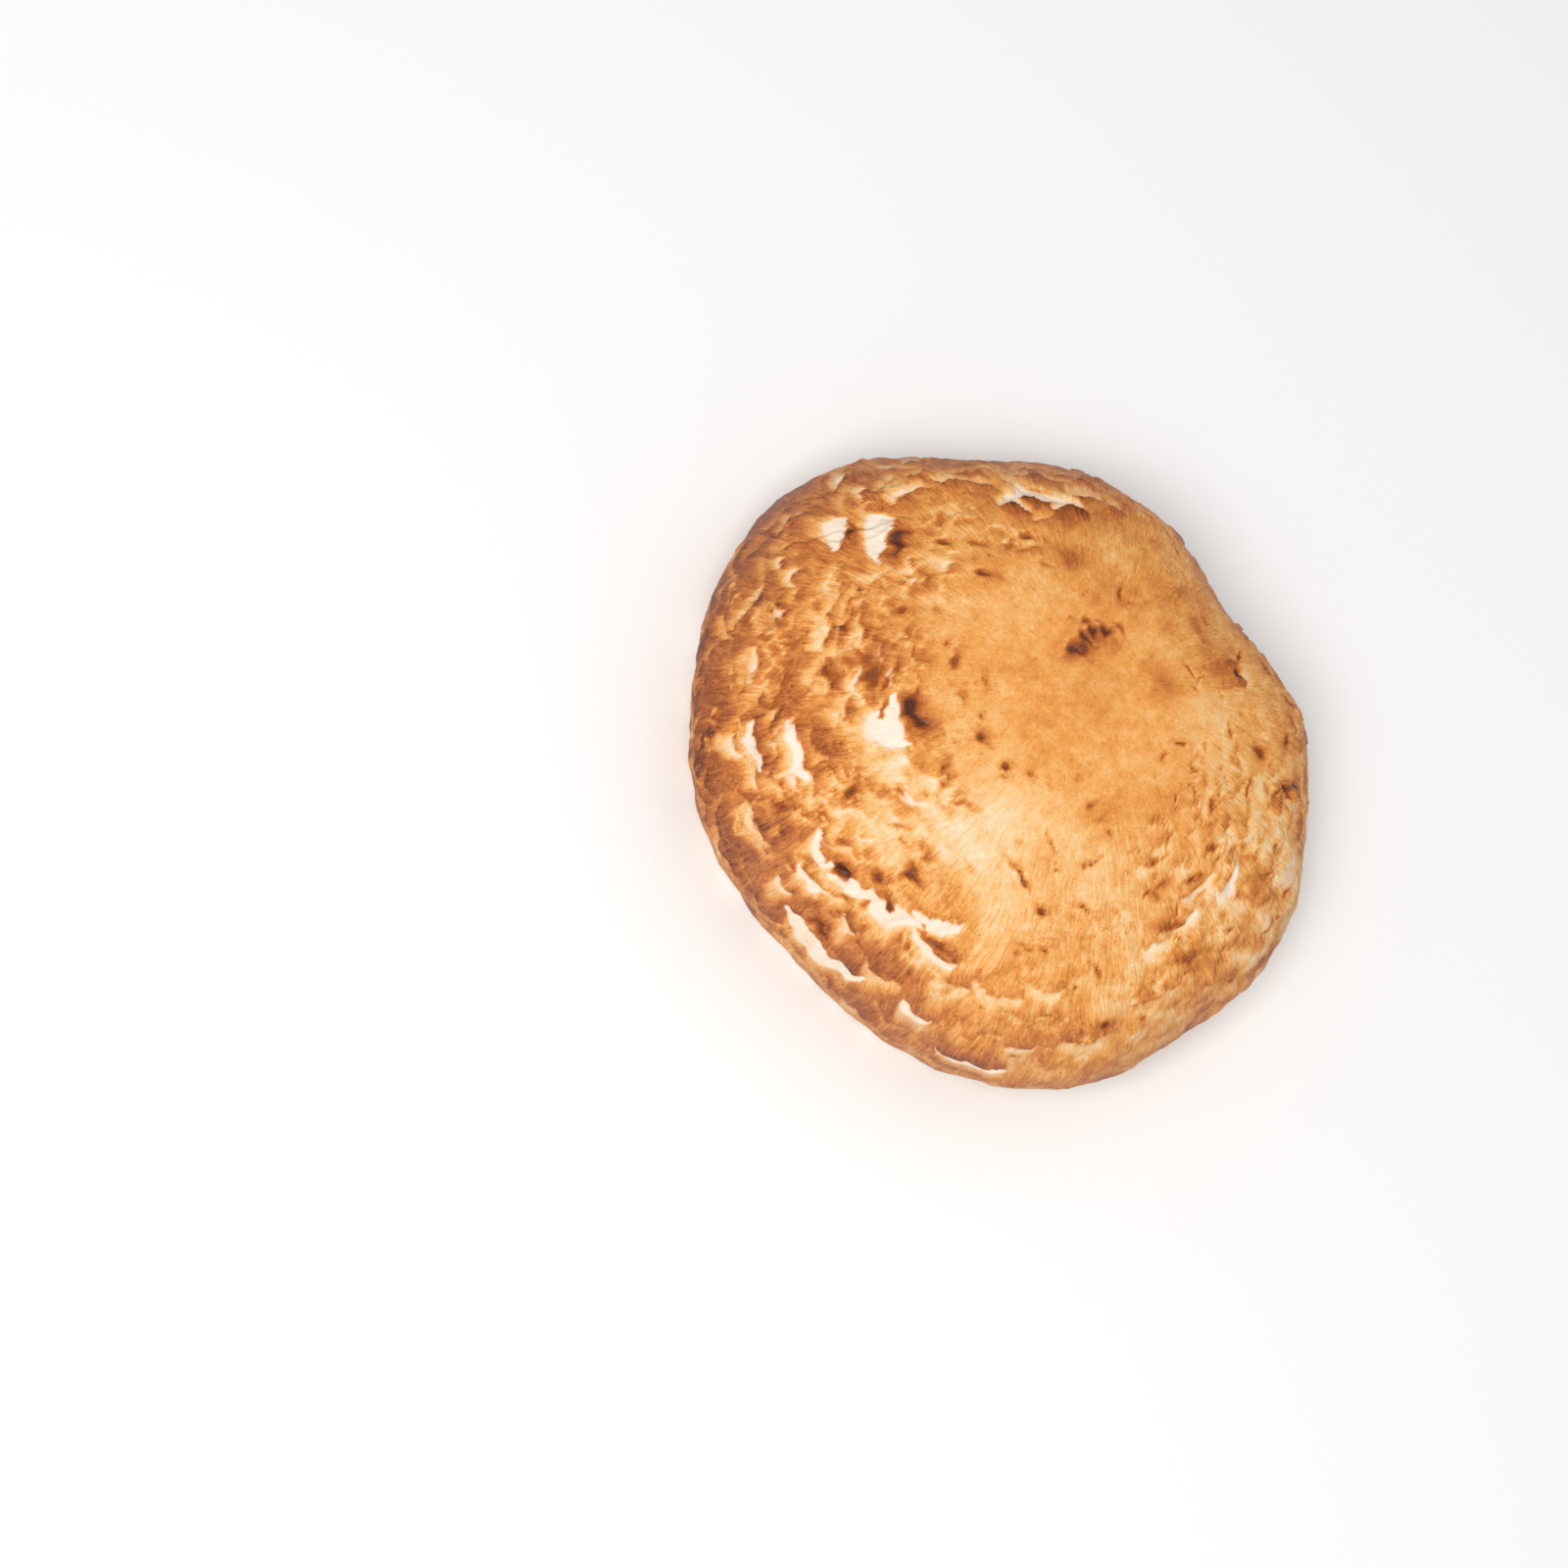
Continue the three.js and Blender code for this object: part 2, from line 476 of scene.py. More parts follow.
@dataclass(frozen=True)
class Tear:
    """A tear across the skin: a dark scale tip, its ragged edge, then bare flesh that feathers out."""

    bearing: float  # degrees
    share: float  # of the cap's radius
    width: float  # mm across
    reach: float  # mm of bare flesh outward
    white: float = 1.0
    tip: float = 0.6
    tip_length: float = 3.0
    lift: float = 0.5
    bow: float = 0.0  # mm that the ends lie further in than the middle
    slant: float = 0.0
    rag: float = 0.5
    cream: float = 0.14  # tone of the flesh just beyond


@dataclass(frozen=True)
class Pit:
    """A dark moist pit or crack in the skin."""

    bearing: float
    share: float
    length: float
    width: float
    turn: float = 0.0  # degrees from across the radius
    dark: float = 0.9
    depth: float = 0.5
    lip: float = 0.3


@dataclass(frozen=True)
class Patch:
    """A soft patch of another tone."""

    bearing: float
    share: float
    size: float
    tone: float
    strength: float
    stretch: float = 1.0


class Skin:
    """The numbers that the cap's skin carries at its points, and the marks made on them."""

    widest_mark: float = 1.6  # radians to each side that a mark can reach

    def __init__(self, form: CapForm, bearing: Array, way: Array, points: Array, radius: Array) -> None:
        """Starts with a plain skin.

        Args:
            form: The cap's form.
            bearing: Each point's bearing, in radians.
            way: Its share of the way from crown to broadest line, over 1 below that line.
            points: Its place, in millimetres.
            radius: Its distance from the stem's axis.
        """
        self.form = form
        self.bearing = bearing
        self.way = way
        self.points = points
        self.radius = radius
        self.arc = form.arc_length(bearing)
        self.drift_side = 1.1 * self.grain(6.5, 3, 2) + 0.4 * self.grain(1.8, 4, 2)
        self.drift_out = 1.1 * self.grain(6.5, 5, 2) + 0.4 * self.grain(1.8, 6, 2)
        self.height = np.zeros(len(bearing))
        self.tone = np.zeros(len(bearing))
        self.flesh = np.zeros(len(bearing))
        self.pit = np.zeros(len(bearing))
        # Painted shade at the far edge, where the cap turns away from the lights.
        self.limb_shade = np.zeros(len(bearing))

    def grain(self, size: float, seed: int, layers: int = 3) -> Array:
        """Noise whose lumps are about size mm wide every way."""
        x, y, z = (self.points / size).T
        return Noise(seed).layered(x, y, z, layers)

    def fibres(self, width: float, length: float, seed: int, layers: int = 2) -> Array:
        """Noise drawn out along the radius, its streaks width mm wide near the rim and length mm long."""
        turns = self.form.nominal_radius / width
        run = self.way * self.arc / length
        return Noise(seed).layered(turns * np.cos(self.bearing), turns * np.sin(self.bearing), run, layers)

    def near(self, bearing: float, share: float, across: float, inward: float, outward: float) -> tuple:
        """Finds the points round a mark.

        Args:
            bearing: The mark's bearing, in degrees.
            share: Its share of the cap's radius.
            across: How far to look to each side, in mm.
            inward: How far towards the crown.
            outward: How far towards the rim.

        Returns:
            The points' numbers, how far each is across, counter-clockwise, and how far outward.
        """
        angle = turned(self.bearing, math.radians(bearing))
        out = (self.way - self.form.way_at(share)) * self.arc + self.drift_out
        side = angle * self.radius + self.drift_side
        close = ((np.abs(side) < across) & (out > -inward) & (out < outward)
                 & (np.abs(angle) < self.widest_mark))
        chosen = np.flatnonzero(close)
        return chosen, side[chosen], out[chosen]

    def tear(self, mark: Tear, seed: int) -> None:
        """Makes a tear.

        The edge line is bow * (side / half)^2 inward, slanted, with two layers of noise, and s is how far
        a point lies beyond it. There the flesh is bare for reach * sqrt(1 - (side / half)^2), and a whiter
        tear holds its white further before it fades. Before the line the tone darkens as e^(s / length).
        """
        half = mark.width / 2
        found = self.near(mark.bearing, mark.share, half * 1.05, 4 * mark.tip_length + 4, mark.reach * 2 + 4)
        chosen, side, out = found
        if not len(chosen):
            return
        noise = Noise(seed)
        jag = noise.at(side / 2.6, seed) + 0.35 * noise.at(side / 1.2, seed + 5.5)
        edge = -mark.bow * (side / half) ** 2 + mark.slant * side + mark.rag * jag
        s = out - edge
        cover = np.clip(1 - (side / half) ** 2, 0, 1)
        reach = mark.reach * np.sqrt(cover) * (1 + 0.35 * noise.at(side / 2.2, 9.1)) + 0.01
        hold = 0.25 + max(0.0, mark.white - 0.6)
        bare = smooth(-0.3, 0.4, s) * (1 - smooth(hold * reach, 1.3 * reach, s)) * smooth(0, 0.12, cover)
        self.flesh[chosen] = np.maximum(self.flesh[chosen], bare * mark.white)
        pale = smooth(-0.1, 0.2, s) * (1 - smooth(0.6 * reach, 2.2 * reach + 1, s)) * smooth(0, 0.4, cover)
        pale = pale * min(1.0, 0.35 + mark.white) * 0.75
        self.tone[chosen] += (mark.cream - self.tone[chosen]) * pale
        inside = 1 - smooth(-0.3, 0.25, s)
        dark = np.exp(np.minimum(s, 0) / mark.tip_length) * inside * smooth(0, 0.35, cover) * mark.tip
        self.tone[chosen] += (1.0 - self.tone[chosen]) * dark
        self.flesh[chosen] *= 1 - dark
        rise = mark.lift * np.exp(np.minimum(s, 0) / 2.4) * inside * smooth(0, 0.5, cover)
        sink = 0.35 * mark.lift * bare
        self.height[chosen] += rise - sink

    def dent(self, mark: Pit, seed: int) -> None:
        """Makes a pit: an oval turned by mark.turn whose outline noise makes uneven, with a raised lip."""
        turn = math.radians(mark.turn)
        span = max(mark.length, mark.width) * 1.4 + 1
        chosen, side, out = self.near(mark.bearing, mark.share, span, span, span)
        along = side * math.cos(turn) + out * math.sin(turn)
        athwart = out * math.cos(turn) - side * math.sin(turn)
        athwart = athwart + 0.25 * mark.width * Noise(seed).at(along / 1.1, seed)
        distance = np.hypot(along / (mark.length / 2), athwart / (mark.width / 2))
        distance = distance * (1 + 0.22 * Noise(seed + 1).at(side / 0.9, out / 0.9, seed))
        hollow = 1 - smooth(0.35, 1.2, distance)
        halo = 1 - smooth(0.7, 2.4, distance)
        lip = np.exp(-((distance - 1.45) ** 2) / 0.1) * (out > 0)
        self.pit[chosen] = np.maximum(self.pit[chosen], hollow * mark.dark)
        self.tone[chosen] += (0.76 - self.tone[chosen]) * halo * 0.8 * mark.dark
        self.tone[chosen] += (0.1 - self.tone[chosen]) * lip * mark.lip
        self.flesh[chosen] *= 1 - hollow
        self.height[chosen] += 0.25 * mark.depth * lip - mark.depth * hollow

    def patch(self, mark: Patch, seed: int) -> None:
        """Blends in a patch: a bell curve, wider across by mark.stretch, its edge made uneven by noise."""
        span = mark.size * 2.2 * max(1.0, mark.stretch)
        chosen, side, out = self.near(mark.bearing, mark.share, span, span, span)
        distance = np.hypot(side / (mark.size * mark.stretch), out / mark.size)
        distance = distance + 0.22 * self.grain(7.0, seed, 3)[chosen]
        amount = np.exp(-(distance**2) * 1.4) * mark.strength
        self.tone[chosen] += (mark.tone - self.tone[chosen]) * amount


# -------------------------------------------------------------------------------- the cap


TEARS: tuple[Tear, ...] = (
    # Upper left, two white triangles with glossy brown tips.
    Tear(145.5, 0.70, 8.5, 5.2, 1.0, 0.9, 2.6, 0.7, 0.3, -0.6),
    Tear(149.0, 0.81, 6.5, 4.4, 1.0, 0.75, 2.2, 0.6, 0.2, -0.6),
    Tear(150.0, 0.58, 7, 2.2, 0.6, 0.5, 2.0, 0.5, 0.0, -0.6),
    Tear(133.0, 0.79, 9, 2.0, 0.55, 0.5, 2.5, 0.5, 1.0),
    Tear(126.0, 0.86, 8, 1.4, 0.35, 0.5, 2.5, 0.5, 1.0),
    # Left, from the crown outward.
    Tear(194.0, 0.53, 9.5, 5.6, 1.0, 0.9, 2.8, 0.8, 0.5, -0.1, 0.5),
    Tear(183.0, 0.63, 8, 1.7, 0.7, 0.75, 2.4, 0.7, 1.0),
    Tear(172.0, 0.63, 6, 1.4, 0.5, 0.5, 2.0, 0.6, 1.0),
    Tear(181.0, 0.71, 8, 2.5, 0.35, 0.7, 3.0, 0.6, 0.5),
    Tear(195.0, 0.785, 12, 2.6, 0.95, 0.75, 3.0, 0.7, 0.5, 0.0, 0.7),
    Tear(191.5, 0.885, 11, 2.4, 0.95, 0.75, 3.0, 0.7, 0.5, 0.0, 0.6),
    Tear(168.0, 0.74, 10, 2.5, 0.3, 0.45, 4.0, 0.5, 1.5),
    Tear(160.0, 0.66, 9, 2.0, 0.3, 0.45, 3.0, 0.5, 1.0),
    Tear(188.5, 0.66, 6, 1.4, 0.5, 0.6, 2.0, 0.5, 0.5),
    Tear(205.0, 0.93, 10, 2.2, 0.4, 0.5, 3.0, 0.6, 1.0),
    # Lower left, the long white tear under the smooth middle.
    Tear(213.5, 0.83, 8, 2.6, 0.9, 0.4, 2.0, 0.8, 0.5, 0.35, 0.7),
    Tear(220.0, 0.83, 9, 2.8, 0.95, 0.4, 1.6, 0.8, 0.8, -0.1, 0.7),
    Tear(229.5, 0.80, 12, 3.4, 1.0, 0.25, 1.4, 0.8, 0.5, -0.25, 0.6),
    Tear(237.5, 0.745, 10, 2.4, 1.0, 0.25, 1.4, 0.7, 0.0, -0.35, 0.5),
    Tear(216.5, 0.90, 7, 2.6, 0.8, 0.6, 2.5, 0.7, 1.0),
    Tear(225.5, 0.965, 20, 4.5, 1.0, 0.7, 3.0, 0.8, 0.5, -0.1, 0.8),
    Tear(226.0, 0.90, 6, 2.4, 0.6, 0.7, 2.5, 0.9, 1.0),
    Tear(240.5, 0.81, 11, 2.6, 0.8, 0.85, 3.0, 0.7, 0.8, 0.1),
    Tear(246.0, 0.86, 8, 2.0, 0.4, 0.4, 3.0, 0.4, 1.0),
    Tear(243.5, 0.95, 7, 2.8, 0.75, 0.4, 4.0, 0.6, 1.5),
    Tear(236.0, 0.93, 9, 2.5, 0.4, 0.5, 3.5, 0.5, 1.0),
    # Bottom.
    Tear(255.0, 0.985, 14, 2.4, 0.9, 0.8, 2.0, 0.6, 0.5),
    Tear(262.0, 0.80, 8, 1.8, 0.3, 0.3, 3.0, 0.4, 1.0),
    Tear(254.0, 0.84, 10, 1.8, 0.35, 0.3, 3.0, 0.5, 1.0),
    Tear(271.0, 0.92, 12, 1.6, 0.35, 0.4, 3.0, 0.5, 1.0),
    # Lower right, puckered.
    Tear(307.0, 0.71, 7, 3.4, 0.8, 0.5, 2.0, 0.6, 1.0),
    Tear(300.0, 0.66, 8, 2.4, 0.5, 0.5, 2.0, 0.6, 1.0),
    Tear(292.0, 0.71, 10, 2.2, 0.5, 0.5, 2.0, 0.6, 1.0),
    Tear(286.0, 0.73, 8, 2.0, 0.4, 0.5, 2.0, 0.5, 1.0),
    Tear(314.0, 0.60, 8, 2.2, 0.4, 0.45, 2.0, 0.6, 1.0),
    Tear(335.0, 0.80, 6, 2.4, 0.35, 0.6, 2.0, 0.5, 0.5),
    # Top, a white band under brown flaps.
    Tear(120.0, 0.82, 10, 1.4, 0.45, 0.6, 3.0, 0.6, 1.0, 0.15, 0.9),
    Tear(103.0, 0.74, 16, 3.2, 0.9, 1.0, 2.6, 0.9, 1.0, 0.05, 0.8),
    Tear(112.5, 0.70, 6.5, 1.8, 0.8, 1.0, 2.4, 0.9, 0.5, 0.1),
    Tear(98.0, 0.86, 12, 1.6, 0.35, 0.7, 3.0, 0.5, 1.0),
    Tear(96.0, 0.72, 8, 2.5, 0.6, 0.7, 2.5, 0.7, 1.0), Tear(86.0, 0.80, 12, 2.0, 0.4, 0.5, 3.0, 0.5, 1.0),
    # Right.
    Tear(9.5, 0.68, 5, 1.3, 0.6, 0.85, 4.0, 0.9, 0.8),
)

PITS: tuple[Pit, ...] = (
    Pit(207.0, 0.35, 2.8, 2.2, 60), Pit(210.0, 0.48, 3.2, 1.0, 80), Pit(223.0, 0.35, 1.6, 1.3),
    Pit(206.5, 0.70, 2.0, 4.6, 0), Pit(203.5, 0.87, 1.6, 3.6, 0), Pit(223.5, 0.78, 2.2, 2.2),
    Pit(228.0, 0.72, 3.0, 3.0, 30), Pit(229.0, 0.81, 3.0, 1.6, 20), Pit(136.5, 0.45, 3.6, 1.8, 70),
    Pit(73.0, 0.41, 3.8, 1.2, 60, 0.7), Pit(248.5, 0.55, 5.0, 0.9, 30, 0.9), Pit(257.0, 0.61, 2.0, 1.6),
    Pit(259.5, 0.72, 2.0, 1.0, 50, 0.7), Pit(271.5, 0.75, 3.0, 1.0, 50, 0.8),
    Pit(274.5, 0.89, 3.0, 1.6, 0), Pit(317.0, 0.53, 1.8, 1.0, 0), Pit(309.0, 0.60, 3.4, 1.0, 30),
    Pit(288.5, 0.53, 1.6, 1.1), Pit(300.0, 0.63, 3.6, 1.0, 20), Pit(338.0, 0.82, 3.0, 4.0),
    Pit(340.5, 0.88, 3.0, 4.5, 0, 1.0), Pit(351.0, 0.81, 3.2, 1.6, 30), Pit(2.0, 0.90, 3.0, 2.6, 0, 0.9),
    Pit(12.0, 0.86, 3.6, 2.4, 20, 0.9), Pit(346.0, 0.95, 4.0, 3.0, 0, 0.9),
    Pit(144.5, 0.68, 7.5, 3.8, -35, 1.0, 0.7), Pit(148.0, 0.79, 5.5, 2.8, -35, 1.0, 0.6),
    Pit(193.0, 0.49, 7.0, 5.0, 10, 1.0, 0.7), Pit(182.0, 0.60, 5.0, 3.0, 0, 0.75),
    Pit(177.0, 0.62, 3.5, 2.4, 0, 0.7), Pit(180.0, 0.71, 4.0, 2.6, 30, 0.8),
    Pit(184.0, 0.57, 4.0, 1.4, 0, 0.7), Pit(218.0, 0.835, 5.5, 1.8, 20, 1.0),
    Pit(240.0, 0.80, 5.0, 1.6, 0, 0.9), Pit(224.0, 0.955, 7.0, 2.4, 10, 0.9),
    Pit(327.5, 0.35, 2.6, 0.6, 60, 0.8), Pit(315.5, 0.31, 2.2, 0.6, 30, 0.7),
    Pit(322.0, 0.42, 2.6, 0.6, 70, 0.6), Pit(288.5, 0.62, 3.6, 1.0, 40, 0.5),
    Pit(9.5, 0.665, 3.2, 2.2, 20, 1.0, 0.8), Pit(14.0, 0.71, 4.5, 1.0, 60, 0.8),
    Pit(166.0, 0.77, 2.6, 1.6, 0, 0.6), Pit(172.0, 0.50, 5.0, 1.0, 0, 0.6),
    Pit(187.0, 0.48, 3.4, 1.0, 10, 0.7),
    # The sticky cluster by the crown.
    Pit(128.0, 0.125, 3.0, 3.0, 0, 1.0, 0.4), Pit(106.0, 0.165, 2.8, 3.4, 0, 1.0, 0.4),
    Pit(92.0, 0.20, 3.0, 3.4, 0, 1.0, 0.4), Pit(76.0, 0.205, 3.6, 2.6, 0, 1.0, 0.4),
    Pit(98.0, 0.235, 2.6, 2.0, 0, 0.8, 0.3), Pit(117.0, 0.14, 3.0, 2.6, 0, 0.9, 0.3),
    Pit(64.0, 0.26, 2.4, 1.0, 0, 0.6, 0.2), Pit(112.0, 0.25, 1.4, 0.8, 0, 0.5, 0.2),
    Pit(86.0, 0.25, 1.2, 0.9, 0, 0.6, 0.2),
    # Orange-brown spots over the top and the left.
    Pit(345.0, 0.67, 1.8, 3.2, 0, 0.8), Pit(113.0, 0.57, 3.4, 1.6, 20, 0.7),
    Pit(111.5, 0.46, 2.0, 1.2, 0, 0.6), Pit(129.5, 0.55, 3.6, 1.4, 30, 0.65),
    Pit(137.5, 0.60, 4.0, 1.4, 40, 0.8), Pit(180.5, 0.60, 4.6, 3.4, 0, 0.8),
    Pit(178.0, 0.55, 3.8, 1.8, 0, 0.75), Pit(162.0, 0.55, 4.0, 1.6, 50, 0.75),
    Pit(160.5, 0.68, 2.8, 1.6, 0, 0.75), Pit(174.5, 0.39, 4.0, 1.4, 0, 0.75),
    Pit(187.5, 0.37, 3.0, 1.2, 0, 0.5),
)

PATCHES: tuple[Patch, ...] = (
    # Painted light: the first, large pale patch on the lower left is the bright pool where the key light
    # falls, laid over paler skin.
    Patch(228.0, 0.57, 15, 0.08, 0.85, 1.6), Patch(240.0, 0.42, 12, 0.30, 0.5, 1.3),
    Patch(262.0, 0.66, 14, 0.34, 0.6, 1.5), Patch(322.0, 0.62, 15, 0.36, 0.5, 1.3),
    Patch(100.0, 0.50, 4.0, 0.74, 0.55), Patch(8.0, 0.29, 4.5, 0.62, 0.5),
    Patch(215.0, 0.63, 5.0, 0.6, 0.5), Patch(12.5, 0.56, 5.5, 0.72, 0.75, 0.8),
    Patch(300.0, 0.42, 5.0, 0.58, 0.4), Patch(232.0, 0.72, 7.0, 0.45, 0.45),
    Patch(96.0, 0.18, 5.0, 0.74, 0.75, 1.3), Patch(52.0, 0.62, 6.0, 0.66, 0.5),
    Patch(294.5, 0.90, 6.0, 0.75, 0.5), Patch(196.0, 0.30, 9.0, 0.42, 0.5),
    Patch(150.0, 0.35, 10.0, 0.55, 0.4), Patch(222.0, 0.95, 8.0, 0.8, 0.4),
    Patch(155.0, 0.53, 8.0, 0.26, 0.6), Patch(137.0, 0.62, 7.5, 0.30, 0.5),
    Patch(212.0, 0.74, 6.0, 0.26, 0.5), Patch(140.0, 0.33, 8.0, 0.40, 0.5),
    Patch(356.0, 0.48, 8.5, 0.26, 0.6), Patch(333.0, 0.50, 8.5, 0.28, 0.5),
    # Small brown bruises.
    Patch(100.5, 0.50, 2.6, 0.86, 0.75, 1.1), Patch(6.5, 0.27, 3.6, 0.74, 0.6, 1.1),
    Patch(279.0, 0.34, 4.0, 0.66, 0.45, 1.6), Patch(301.5, 0.41, 3.0, 0.66, 0.4),
    Patch(215.0, 0.61, 2.6, 0.68, 0.6), Patch(29.5, 0.61, 2.4, 0.86, 0.75, 1.4),
    Patch(48.0, 0.67, 3.0, 0.84, 0.6, 0.6), Patch(235.5, 0.68, 4.5, 0.62, 0.6, 1.5),
    Patch(217.5, 0.24, 1.6, 0.66, 0.6),
)


class CapFinish:
    """The cap's material: golden brown skin in radial fibres, white flesh where it tore, moist dark pits."""

    TONES: tuple[tuple[float, Colour], ...] = (
        (0.00, srgb(250, 236, 214)), (0.16, srgb(248, 218, 178)), (0.34, srgb(243, 191, 124)),
        (0.50, srgb(232, 158, 74)), (0.66, srgb(205, 123, 54)), (0.82, srgb(170, 90, 30)),
        (1.00, srgb(104, 44, 12)),
    )

    def build(self, form: CapForm) -> Shader:
        """Builds the material.

        Args:
            form: The cap's form, for the axis that the fibres run out from.

        Returns:
            The shader.
        """
        shader = Shader("cap_skin")
        place = shader.place()
        centre = (*(form.centre * MM), 0.0)
        out = shader.vector("MULTIPLY", shader.vector("SUBTRACT", place, centre), (1.0, 1.0, 0.0))
        reach = shader.node("ShaderNodeVectorMath", {"operation": "LENGTH"}, {0: out}, "Value")
        drift = shader.node(
            "ShaderNodeTexNoise", None, {"Vector": place, "Scale": 70.0, "Detail": 2.0}, "Color")
        heading = shader.vector(
            "ADD", shader.vector("NORMALIZE", out), shader.vector("SCALE", drift, scale=0.10))
        fine = self._fibre(shader, heading, reach, 150.0, 420.0, 4.0)
        broad = self._fibre(shader, heading, reach, 56.0, 200.0, 4.0)
        mottle = shader.noise(place, 420.0, 4.0, 0.6)
        cloud = shader.noise(place, 95.0, 4.0, 0.55)
        speck = shader.noise(place, 1900.0, 3.0, 0.6)

        tone = shader.attribute("tone")
        flesh = shader.attribute("flesh")
        pit = shader.attribute("pit")
        limb_shade = shader.attribute("limb_shade")
        hairy = shader.attribute("hairy")
        bare = (flesh + (fine * 0.5 + broad * 0.5) * hairy + mottle * 0.3 + speck * 0.1).rise(0.30, 0.72)
        moist = (pit + speck * 0.35 + mottle * 0.25).rise(0.24, 0.66)
        grit = shader.noise(place, 900.0, 5.0, 0.7)
        shade = tone + (fine * 0.58 + broad * 0.36) * hairy + mottle * 0.30 + cloud * 0.26 + speck * 0.24
        shade = shade + grit.rise(0.08, 0.28) * 0.26 - (0 - grit).rise(0.08, 0.28) * 0.20
        skin = shader.ramp(shade.clamp(), self.TONES)
        # Painted shade: a mauve-grey tint and a darkening at the far edge, where the cap turns away from the
        # lights.
        skin = shader.mix(skin, srgb(196, 156, 140), limb_shade * 0.46)
        skin = shader.mix(skin, srgb(200, 178, 176), limb_shade * 0.8, "MULTIPLY")
        stain = (broad * 1.3 + cloud * 1.4 + fine * 0.9 + 0.32).clamp()
        white = shader.mix(srgb(247, 233, 217), srgb(236, 206, 176), stain)
        colour = shader.mix(skin, white, bare)
        depth = (pit * 1.9 + speck * 0.5 - 0.90).clamp()
        colour = shader.mix(colour, shader.mix(srgb(190, 98, 20), srgb(84, 30, 5), depth), moist)
        relief = (fine * 0.6 + broad * 0.5) * hairy * (1.0 - bare * 0.6) + mottle * 0.5 + speck * 0.25
        relief = relief - bare * 0.35 - moist * 0.5
        normal = shader.bump(relief, 0.45 * MM, 0.9)
        shader.drive(Base_Color=colour, Normal=normal)
        shader.drive(Roughness=0.58 + mottle * 0.25 - moist * 0.30, Coat_Weight=moist * 0.12)
        shader.set(
            Subsurface_Weight=0.25, Subsurface_Radius=(1.0, 0.45, 0.2), Subsurface_Scale=1.6 * MM,
            Specular_IOR_Level=0.32, Coat_Roughness=0.12,
        )
        return shader

    @staticmethod
    def _fibre(shader: Shader, heading: Value, reach: Value, turns: float, along: float,
               detail: float) -> Value:
        """Noise in streaks along the radius: read at turns * heading, and along * distance from the axis."""
        flat = shader.vector("SCALE", heading, scale=turns)
        run = shader.node("ShaderNodeCombineXYZ", None, {"Z": reach * along})
        return shader.noise(shader.vector("ADD", flat, run), 1.0, detail, 0.6)


